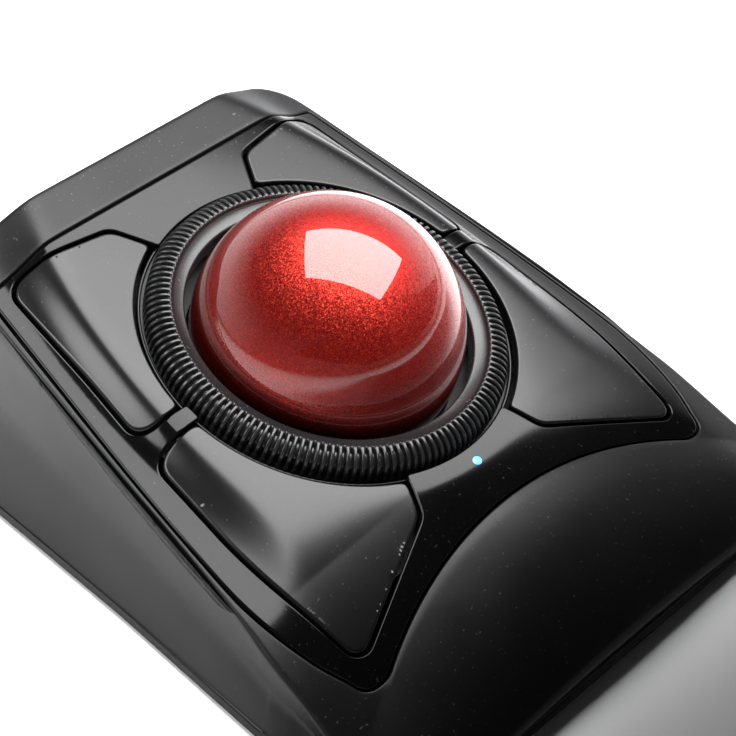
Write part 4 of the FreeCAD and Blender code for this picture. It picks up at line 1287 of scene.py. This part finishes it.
@dataclass(frozen=True)
class DeckPlate:
    """The gloss deck with its four openings, and the thin collar round the ring."""

    buttons: tuple[Button, ...]
    thickness: float = 2.2
    edge_radius: float = 0.42
    flat_reach: float = 0.12
    collar_drop: float = 1.3
    collar_depth: float = 4.0
    collar_gap: float = 0.05
    collar_columns: int = 720
    step: ClassVar[float] = 0.35
    tip_length: ClassVar[float] = 3.5
    tip_inset: ClassVar[float] = 1.0
    nose_at: ClassVar[tuple[float, float]] = (-1.9, 0.5)

    @classmethod
    def outline(cls, grow: float) -> Loop:
        """The deck's outer edge: straight back, sides on side_edge, two rounded tips and
        a front arc through them.

        Args:
            grow: How far it is grown.

        Returns:
            The loop, running anticlockwise.
        """
        v = np.linspace(FORM.deck_back, FORM.deck_tip + cls.tip_length, 160)
        flank = np.stack([FORM.side_edge(v), v], axis=1)
        tip = FORM.half_width - FORM.tip_front - cls.tip_inset
        sag = FORM.deck_front - float(FORM.front_edge(np.array(tip)))
        radius = (tip**2 + sag**2) / (2 * sag)
        x = np.linspace(tip, 0.0, 90)
        front = np.stack([x, FORM.deck_front - radius + np.sqrt(radius**2 - x**2)], axis=1)
        nose = np.array([flank[-1, 0], FORM.deck_tip]) + cls.nose_at
        t = np.linspace(0.0, 1.0, 14)[1:-1, None]
        pull = 2 * nose - (flank[-1] + front[0]) / 2
        turn = (1 - t) ** 2 * flank[-1] + 2 * t * (1 - t) * pull + t**2 * front[0]
        right = np.vstack([flank, turn, front])
        whole = np.vstack([right, right[-2::-1] * MIRROR])
        return Loop(whole).even(cls.step).soft(4).turned(True).inset(-grow)

    def hole(self) -> Loop:
        """The one opening that the ring and the four buttons share: each button's grown
        sector, joined by arcs of the ring's hole where the bridges are.

        Returns:
            The loop, running clockwise.
        """
        runs = [b.sector(FORM.button_gap, FORM.hole_radius) for b in self.buttons]
        ends = [bearing(run[[0, -1]]) for run in runs]
        order = np.argsort([end[0] for end in ends])
        parts = []
        for this, following in zip(order, np.roll(order, -1)):
            run, start, end = runs[this], ends[this][1], ends[following][0]
            end += FULL_TURN if end < start else 0.0
            parts += [run, circle_arc(FORM.hole_radius, start, end)]
        return Loop(np.vstack(parts)).even(self.step).soft(3).turned(False)

    def collar(self) -> Surface:
        """A tube round the ring whose top follows the deck's height at each angle, lowered
        by the drop, with a rounded lip.

        Returns:
            The tube's surface.
        """
        angle = np.linspace(0.0, FULL_TURN, self.collar_columns, endpoint=False)
        inner, outer = FORM.hole_radius + self.collar_gap, FORM.collar_outer
        middle, half = (inner + outer) / 2, (outer - inner) / 2
        turn = np.linspace(0.0, math.pi, 9)
        radius = np.concatenate([[inner], middle - half * np.cos(turn), [outer]])[:, None]
        rise = np.concatenate([[0.0], half * np.sin(turn) - half, [0.0]])[:, None]
        deep = np.zeros_like(rise)
        deep[[0, -1]] = self.collar_depth
        x, v = radius * np.cos(angle), radius * np.sin(angle)
        top = FORM.height(middle * np.cos(angle), middle * np.sin(angle)) - self.collar_drop
        points = np.stack([x, v, top + rise - deep], axis=-1)
        return Surface.of_grid(FORM.to_world(points), True, True).outward()

    def build(self) -> list[bpy.types.Object]:
        """Make the deck and its collar.

        Returns:
            The two pieces.
        """
        plate = Plate(FORM.height, self.thickness, self.edge_radius, self.flat_reach)
        deck = plate.surface([self.outline(0.0), self.hole()]).weighted_piece("deck_top")
        collar = self.collar().piece("deck_collar")
        return [
            settle(deck, Body.CASE, "gloss_black", "deck_plate"),
            settle(collar, Body.CASE, "gloss_black"),
        ]


@dataclass(frozen=True)
class Housing:
    """The moulded case: a lip round the deck, the crown outside it and a leaning skirt
    with a soft crease."""

    groove: float = 0.45
    ledge: float = 2.4
    ledge_drop: float = 2.5
    lip: float = 0.5
    corner: float = 1.3
    crease_depth: float = 2.2
    crease_at: float = 0.5
    crease_soft: float = 0.05
    wall: float = 1.6
    foot_rim: float = 1.8
    foot_gap: float = 0.5
    crown_rows: int = 14
    skirt_rows: int = 18
    column_step: float = 1.1
    halvings: int = 40

    def rails(self) -> tuple[np.ndarray, np.ndarray]:
        """The skirt's bottom edge at the foot's height and its top edge in a plane above
        the deck, point for point.

        Returns:
            The two edges in the deck frame.
        """
        wide, long = FORM.half_width, FORM.half_length
        low = np.array([
            (wide - 15.0, long, 16.0), (wide - 6.4, 0.0, 300.0), (wide, -long * 0.58, 60.0),
            (wide, -long, 26.0),
        ])
        back, middle, side = (float(FORM.side_edge(v)) for v in
                              (FORM.deck_back, 0.0, FORM.deck_tip * 0.6))
        front = -(long + (FORM.skirt_top - 1.0) * math.sin(FORM.tilt) - 1.2) / math.cos(FORM.tilt)
        high = np.array([
            (back + 0.2, FORM.back_top, 9.0), (middle + 0.3, 0.0, 300.0),
            (side, FORM.deck_tip * 0.6, 60.0), (side, front, 24.0),
        ])
        flip = np.array([-1.0, 1.0, 1.0])
        bottom = rounded_polygon(np.vstack([low, low[::-1] * flip]), 60)
        top = rounded_polygon(np.vstack([high, high[::-1] * flip]), 60)
        bottom = np.column_stack([bottom, np.full(len(bottom), FORM.foot_height)])
        return FORM.to_deck(bottom), np.column_stack([top, np.full(len(top), FORM.skirt_top)])

    @staticmethod
    def around(columns: np.ndarray, angles: np.ndarray, values: np.ndarray) -> np.ndarray:
        """Read values round the case at the columns' angles.

        Args:
            columns: The columns' angles.
            angles: Angle of each given value.
            values: One row for each angle.

        Returns:
            One row for each column.
        """
        order = np.argsort(angles)
        return np.stack([np.interp(columns, angles[order], column, period=FULL_TURN)
                         for column in values[order].T], axis=1)

    def meeting(self, low: np.ndarray, high: np.ndarray) -> np.ndarray:
        """How far up each straight line of the skirt the crown is met, by halving.

        Args:
            low: Bottom ends.
            high: Top ends.

        Returns:
            A fraction for each line.
        """
        under, over = np.zeros(len(low)), np.ones(len(low))
        for _ in range(self.halvings):
            middle = (under + over) / 2
            point = low + (high - low) * middle[:, None]
            above = point[:, 2] > FORM.crown(point[:, 0], point[:, 1])
            over = np.where(above, middle, over)
            under = np.where(above, under, middle)
        return under

    def section(self) -> np.ndarray:
        """Every column of the housing: ledge, groove wall, rounded lip, crown, rounded
        corner, skirt and bottom edge, in that order.

        Returns:
            Rows by columns by three, in the deck frame.
        """
        low, high = self.rails()
        at = self.meeting(low, high)
        edge = low + (high - low) * at[:, None]
        rim = DeckPlate.outline(self.groove).points
        edge_angle, rim_angle = bearing(edge), bearing(rim)
        even_edge = Loop(edge[:, :2]).even(self.column_step).points
        columns = np.concatenate([bearing(even_edge), rim_angle[::2]])
        columns = np.unique(np.round(columns, 4))
        reach = self.around(columns, rim_angle, np.linalg.norm(rim, axis=1)[:, None])
        start = reach * np.stack([np.cos(columns), np.sin(columns)], axis=1)
        foot = self.around(columns, edge_angle, low)
        corner = self.around(columns, edge_angle, edge)
        across = corner[:, :2] - start
        width = np.linalg.norm(across, axis=1, keepdims=True)
        toward = across / width
        lip = np.minimum(self.lip, 0.3 * width)
        cut = np.minimum(self.corner, 0.4 * width)
        rows = [self.on_crown(start - toward * self.ledge, self.ledge_drop),
                self.on_crown(start, self.ledge_drop)]
        for bend in np.linspace(0.0, math.pi / 2, 5):
            rows.append(self.on_crown(start + toward * lip * (1 - math.cos(bend)),
                                      lip[:, 0] * (1 - math.sin(bend))))
        for share in np.linspace(0.0, 1.0, self.crown_rows)[1:]:
            rows.append(self.on_crown(start + toward * (lip + (width - cut - lip) * share), 0.0))
        down = foot - corner
        length = np.linalg.norm(down, axis=1, keepdims=True)
        first, last = rows[-1], corner + down * (cut / length)
        for t in np.linspace(0.0, 1.0, 7)[1:]:
            rows.append((1 - t) ** 2 * first + 2 * t * (1 - t) * corner + t**2 * last)
        inward = -self.plan_normal(foot)
        for share in np.linspace(0.0, 1.0, self.skirt_rows)[1:]:
            point = last + (foot - last) * share
            rows.append(point + inward * self.crease(1 - share))
        up = FORM.to_deck(np.array([0.0, 0.0, 1.0])) - FORM.to_deck(np.zeros(3))
        rows.append(foot + inward * self.foot_rim)
        rows.append(rows[-1] + up * self.foot_rim)
        return np.stack(rows)

    @staticmethod
    def on_crown(places: np.ndarray, drop: np.ndarray | float) -> np.ndarray:
        """Places lifted to the crown and lowered by a drop."""
        w = FORM.crown(places[:, 0], places[:, 1]) - drop
        return np.column_stack([places, w])

    @staticmethod
    def plan_normal(loop: np.ndarray) -> np.ndarray:
        """Outward directions of a loop that runs anticlockwise, in its own plane.

        Args:
            loop: The loop's points.

        Returns:
            A unit direction for each point.
        """
        along = np.roll(loop[:, :2], -1, axis=0) - np.roll(loop[:, :2], 1, axis=0)
        along = along / np.linalg.norm(along, axis=1, keepdims=True)
        return np.stack([along[:, 1], -along[:, 0], np.zeros(len(loop))], axis=1)

    def crease(self, up: float) -> float:
        """How far the skirt is drawn in: straight ramps from its top and bottom that meet
        at the crease, softened there.

        Args:
            up: Fraction of the way from the bottom to the top.

        Returns:
            Distance in millimetres.
        """
        ramp = min(up / self.crease_at, (1 - up) / (1 - self.crease_at))
        level = ramp if ramp < 1 - self.crease_soft else 1 - self.crease_soft / 2
        return self.crease_depth * level

    def build(self) -> bpy.types.Object:
        """Make the housing as an open skin, held inside the CAD box, with its wall added.

        Returns:
            The piece.
        """
        surface = Surface.of_grid(FORM.to_world(self.section()), False, True)
        lowest = np.array(CAD_BOX[0]) + (0.0, 0.0, self.foot_gap * MM)
        held = np.clip(surface.points, lowest, np.array(CAD_BOX[1]))
        piece = Surface(held, [surface.faces[0][:, ::-1]]).piece("housing_skin")
        wall = piece.modifiers.new("wall", "SOLIDIFY")
        wall.thickness = self.wall * MM
        wall.offset = -1.0
        return settle(piece, Body.CASE, "housing_matt", "housing_shell")


@dataclass(frozen=True)
class ScrollRing:
    """The scroll ring: a smooth inner band and a domed rim cut by rounded slots."""

    inner: float = 29.2
    knurl_inner: float = 31.95
    outer: float = 36.8
    low: float = -1.2
    inner_top: float = 2.7
    crest: float = 4.5
    outer_top: float = 0.8
    count: int = 144
    slot_start: float = 0.8
    slot_half: float = 0.36
    slot_soft: float = 0.16
    slot_depth: float = 1.25
    per_tooth: int = 14

    def profile(self) -> np.ndarray:
        """The ring's section: up the bore, over a rounded inner lip, along the band, over
        the rim's shoulder and down a dome to the outer wall.

        Returns:
            One row of (radius, height) for each point, closed underneath.
        """
        knots = np.array([
            (self.inner, self.low), (self.inner, self.inner_top - 0.45),
            (self.inner + 0.12, self.inner_top - 0.12), (self.inner + 0.45, self.inner_top),
            (self.inner + 0.8, self.inner_top + 0.02),
            (self.knurl_inner - 0.5, self.inner_top + 0.75),
            (self.knurl_inner - 0.15, self.inner_top + 0.95),
            (self.knurl_inner, self.inner_top + 1.25), (self.knurl_inner + 0.15, self.crest - 0.2),
            (self.knurl_inner + 0.45, self.crest),
        ])
        bend = np.linspace(0.0, math.pi / 2, 17)[1:]
        start = self.knurl_inner + 0.45
        dome = np.stack([start + (self.outer - start) * np.sin(bend),
                         self.outer_top + (self.crest - self.outer_top) * np.cos(bend)], axis=1)
        return np.vstack([knots, dome, [(self.outer, self.low)]])

    def surface(self) -> Surface:
        """The section turned about the axis, lowered inside each slot.  A slot is all that
        lies within its half width of a radial line, with a round inner end, and its wall
        follows a smooth step.

        Returns:
            The ring's surface.
        """
        profile = self.profile()
        angle = np.linspace(0.0, FULL_TURN, self.count * self.per_tooth, endpoint=False)
        radius, height = profile[:, :1], profile[:, 1:]
        pitch = FULL_TURN / self.count
        off = (angle[None, :] + pitch / 2) % pitch - pitch / 2
        begin = self.knurl_inner + self.slot_start + self.slot_half
        gap = np.hypot(np.maximum(begin - radius, 0.0), radius * np.sin(off)) - self.slot_half
        step = np.clip(0.5 - gap / (2 * self.slot_soft), 0.0, 1.0)
        depth = self.slot_depth * step * step * (3 - 2 * step)
        along = np.gradient(profile, axis=0)
        along = along / np.linalg.norm(along, axis=1, keepdims=True)
        wall = (profile[:, 1] <= self.low + 0.01) | (profile[:, 0] < begin - self.slot_half)
        depth[wall] = 0.0
        r = radius - depth * -along[:, 1:]
        w = height - depth * along[:, :1]
        points = np.stack([r * np.cos(angle), r * np.sin(angle), w + 0.0 * angle], axis=-1)
        return Surface.of_grid(FORM.to_world(points), True, True).outward()

    def build(self) -> bpy.types.Object:
        """Make the ring."""
        piece = self.surface().piece("scroll_ring_knurled")
        return settle(piece, Body.RING, "ring_satin", "scroll_ring")


@dataclass(frozen=True)
class Ball:
    """The ball: a sphere whose poles are single points."""

    rings: int = 120
    columns: int = 240
    slack: float = 0.001

    def surface(self) -> Surface:
        """Points at equal steps of latitude and longitude, with a fan at each pole.

        Returns:
            The ball's surface.
        """
        polar = np.linspace(0.0, math.pi, self.rings + 1)[1:-1, None]
        round_ = np.linspace(0.0, FULL_TURN, self.columns, endpoint=False)[None, :]
        radius = FORM.ball_radius - self.slack
        grid = radius * np.stack([
            np.sin(polar) * np.cos(round_), np.sin(polar) * np.sin(round_),
            np.cos(polar) + 0.0 * round_], axis=-1)
        rows = grid.shape[0]
        points = np.vstack([grid.reshape(-1, 3), [(0, 0, radius)], [(0, 0, -radius)]])
        j = np.arange(self.columns)
        ahead = (j + 1) % self.columns
        top = np.stack([j, ahead, np.full_like(j, rows * self.columns)], axis=1)
        base = (rows - 1) * self.columns
        low = np.stack([base + ahead, base + j, np.full_like(j, rows * self.columns + 1)], axis=1)
        quads = grid_faces(rows, self.columns, False, True)[:, ::-1]
        return Surface(FORM.to_world(points), [quads, top, low])

    def build(self) -> bpy.types.Object:
        """Make the ball."""
        return settle(self.surface().piece("ball"), Body.BALL, "ball_red", "trackball")


@dataclass(frozen=True)
class StatusLens:
    """The lit end of the light pipe, standing a little proud of the deck."""

    place: tuple[float, float] = (0.0, -40.514)
    radius: float = 1.0
    rise: float = 0.18
    depth: float = 1.2
    columns: int = 48

    def build(self) -> bpy.types.Object:
        """Turn a section about the pipe's axis: out from the middle of the top, over a
        dome that falls with the square of the radius, down its wall and back underneath.

        Returns:
            The piece.
        """
        share = np.array([0.02, 0.25, 0.5, 0.7, 0.85, 0.94, 1.0, 1.0, 0.02])
        height = self.rise * (1 - share**2)
        height[-2:] = -self.depth
        angle = np.linspace(0.0, FULL_TURN, self.columns, endpoint=False)
        x = self.place[0] + self.radius * share[:, None] * np.cos(angle)
        v = self.place[1] + self.radius * share[:, None] * np.sin(angle)
        base = float(FORM.height(np.array(self.place[0]), np.array(self.place[1])))
        points = np.stack([x, v, base + height[:, None] + 0.0 * x], axis=-1)
        surface = Surface.of_grid(FORM.to_world(points), True, True).outward()
        piece = settle(surface.piece("status_lens"), Body.CASE, "clear_plastic", "light_pipe")
        PAINT.dress(piece, LAMP)
        return piece


# ---------------------------------------------------------------- stage
@dataclass(frozen=True)
class Studio:
    """A pale floor, a large soft box overhead, a side panel, a card that shades the front,
    a bright far wall and the camera."""

    camera_place: tuple[float, float, float] = (-0.29894, -0.26886, 0.33771)
    camera_right: tuple[float, float, float] = (0.66212, -0.74925, 0.01480)
    camera_down: tuple[float, float, float] = (-0.44912, -0.41255, -0.79253)
    camera_ahead: tuple[float, float, float] = (0.59991, 0.51810, -0.60966)
    lens: float = 124.27
    floor_size: float = 6.0
    box_corners: tuple[tuple[float, float, float], ...] = (
        (-0.340, 0.061, 0.938), (0.293, 0.550, 0.782), (0.759, -0.269, 0.593),
        (0.257, -0.665, 0.702))
    box_distance: float = 1.0
    sky_strength: float = 1.6
    box_power: float = 46.0
    panel_aim: tuple[float, float, float] = (-0.66, 0.46, 0.60)
    panel_size: tuple[float, float] = (0.5, 0.35)
    panel_distance: float = 1.0
    panel_power: float = 7.0
    panel_lights: tuple[str, ...] = ("button_", "deck_", "housing_", "scroll_", "floor")
    flag_height: float = 0.074
    flag_edge: float = -0.0475
    flag_slant: float = -0.106
    flag_span: tuple[float, float] = (-0.12, 0.45)
    flag_front: float = -0.4
    sky_dark: tuple[float, float, float] = (0.015, 0.015, 0.016)
    sky_bright: tuple[float, float, float] = (1.0, 1.0, 1.02)
    sensor_width: float = 36.0

    def floor(self) -> None:
        """Lay a plain pale floor with a faint mottle."""
        half = self.floor_size / 2
        corners = np.array([[-half, -half, 0], [half, -half, 0], [half, half, 0], [-half, half, 0]])
        piece = Surface(corners, [np.array([[0, 1, 2, 3]])]).piece("floor")
        finish = Finish("floor_pale", (0.9, 0.9, 0.9), 0.6, shift=0.02, relief=0.0, use=0.0)
        PAINT.dress(piece, finish)

    def flag(self) -> None:
        """Hold a black card over the front, which keeps the soft box off it."""
        x = np.array(self.flag_span)[[0, 1, 1, 0]]
        y = self.flag_edge + self.flag_slant * x
        y[:2] = self.flag_front
        corners = np.column_stack([x, y, np.full(4, self.flag_height)])
        card = Surface(corners, [np.array([[0, 1, 2, 3]])]).piece("flag")
        PAINT.dress(card, Finish("flag_black", (0.002, 0.002, 0.002), 0.9, specular=0.0))
        card.visible_camera = False

    def light(self, name: str, centre: np.ndarray, across: np.ndarray, along: np.ndarray,
              power: float) -> bpy.types.Object:
        """Hang a rectangular light.

        Args:
            name: The light's name.
            centre: Its middle.
            across: One side's direction and length.
            along: The other side's, turned square to the first.
            power: Its power.

        Returns:
            The light.
        """
        data = bpy.data.lights.new(name, "AREA")
        data.shape = "RECTANGLE"
        data.size, data.size_y = (float(np.linalg.norm(side)) for side in (across, along))
        data.energy = power
        x = across / np.linalg.norm(across)
        y = along - x * (along @ x)
        y = y / np.linalg.norm(y)
        z = np.cross(x, y)
        if z @ -centre > 0:
            y, z = -y, -z
        lamp = bpy.data.objects.new(name, data)
        bpy.context.scene.collection.objects.link(lamp)
        lamp.matrix_world = Matrix([(*row, place) for row, place in
                                    zip(np.stack([x, y, z], axis=1).tolist(), centre.tolist())]
                                   + [(0, 0, 0, 1)])
        return lamp

    def softbox(self) -> None:
        """Hang the soft box so that its corners lie in the four given directions."""
        corners = np.array(self.box_corners)
        corners = corners / np.linalg.norm(corners, axis=1, keepdims=True)
        middle = corners.mean(axis=0)
        middle = middle / np.linalg.norm(middle)
        flat = corners / (corners @ middle)[:, None] * self.box_distance
        across = (flat[2] - flat[1] + flat[3] - flat[0]) / 2
        along = (flat[1] - flat[0] + flat[2] - flat[3]) / 2
        self.light("soft_box", flat.mean(axis=0), across, along, self.box_power)

    def panel(self) -> None:
        """Hang the smaller panel at the back left, lighting the case but not the ball."""
        aim = np.array(self.panel_aim)
        aim = aim / np.linalg.norm(aim)
        across = np.cross(aim, (0.0, 0.0, 1.0))
        across = across / np.linalg.norm(across)
        along = np.cross(across, aim)
        wide, high = self.panel_size
        lamp = self.light("side_panel", aim * self.panel_distance, across * wide, along * high,
                          self.panel_power)
        lit = bpy.data.collections.new("side_panel_lit")
        for piece in bpy.data.objects:
            if piece.type == "MESH" and piece.name.startswith(self.panel_lights):
                lit.objects.link(piece)
        lamp.light_linking.receiver_collection = lit

    def build(self) -> None:
        """Set the floor, the lights, the surroundings and the camera."""
        self.floor()
        self.flag()
        self.softbox()
        self.panel()
        world = bpy.data.worlds.new("studio")
        bpy.context.scene.world = world
        world.use_nodes = True
        shader = Shader(world.node_tree)
        sky = shader.node("ShaderNodeBackground")
        sky.inputs[1].default_value = self.sky_strength
        up = shader.node("ShaderNodeSeparateXYZ")
        shader.feed(up.inputs[0], shader.node("ShaderNodeTexCoord").outputs["Generated"])
        low = shader.span(up.outputs["Z"], 0.2, 0.55, 1.0, 0.0)
        lean = shader.math("MULTIPLY_ADD", up.outputs["X"], 0.8, up.outputs["Y"])
        far = shader.span(lean, -0.5, 0.7, 0.12, 1.0)
        bright = shader.math("MULTIPLY", low, far)
        shader.feed(sky.inputs[0], shader.mix(bright, self.sky_dark, self.sky_bright))
        out = shader.node("ShaderNodeOutputWorld")
        shader.feed(out.inputs[0], sky.outputs[0])
        data = bpy.data.cameras.new("camera")
        data.lens, data.sensor_width = self.lens, self.sensor_width
        camera = bpy.data.objects.new("camera", data)
        bpy.context.scene.collection.objects.link(camera)
        axes = (self.camera_right, [-c for c in self.camera_down],
                [-c for c in self.camera_ahead], self.camera_place)
        camera.matrix_world = Matrix([(*[axis[k] for axis in axes],) for k in range(3)]
                                     + [(0, 0, 0, 1)])
        bpy.context.scene.camera = camera
        bpy.context.scene.view_settings.view_transform = "Standard"


def dress_nodes() -> None:
    """Give every CAD node the finish of its record slot."""
    for part in frame["record"]["subparts"]:
        PAINT.dress(frame["nodes"][part["node"]], SLOT_FINISHES[part["material_slot"]])


def main() -> None:
    """Build the object piece by piece, then the stage, and report each piece."""
    logging.basicConfig(level=logging.INFO, format="%(name)s: %(message)s")
    dress_nodes()
    buttons = tuple(Button(side, row) for row in Row for side in Side)
    made = [button.build() for button in buttons]
    made += DeckPlate(buttons).build()
    made += [Housing().build(), ScrollRing().build(), Ball().build(), StatusLens().build()]
    for piece in made:
        LOG.info("%s: %d faces", piece.name, len(piece.data.polygons))
    Studio().build()


if __name__ == "__main__":
    main()
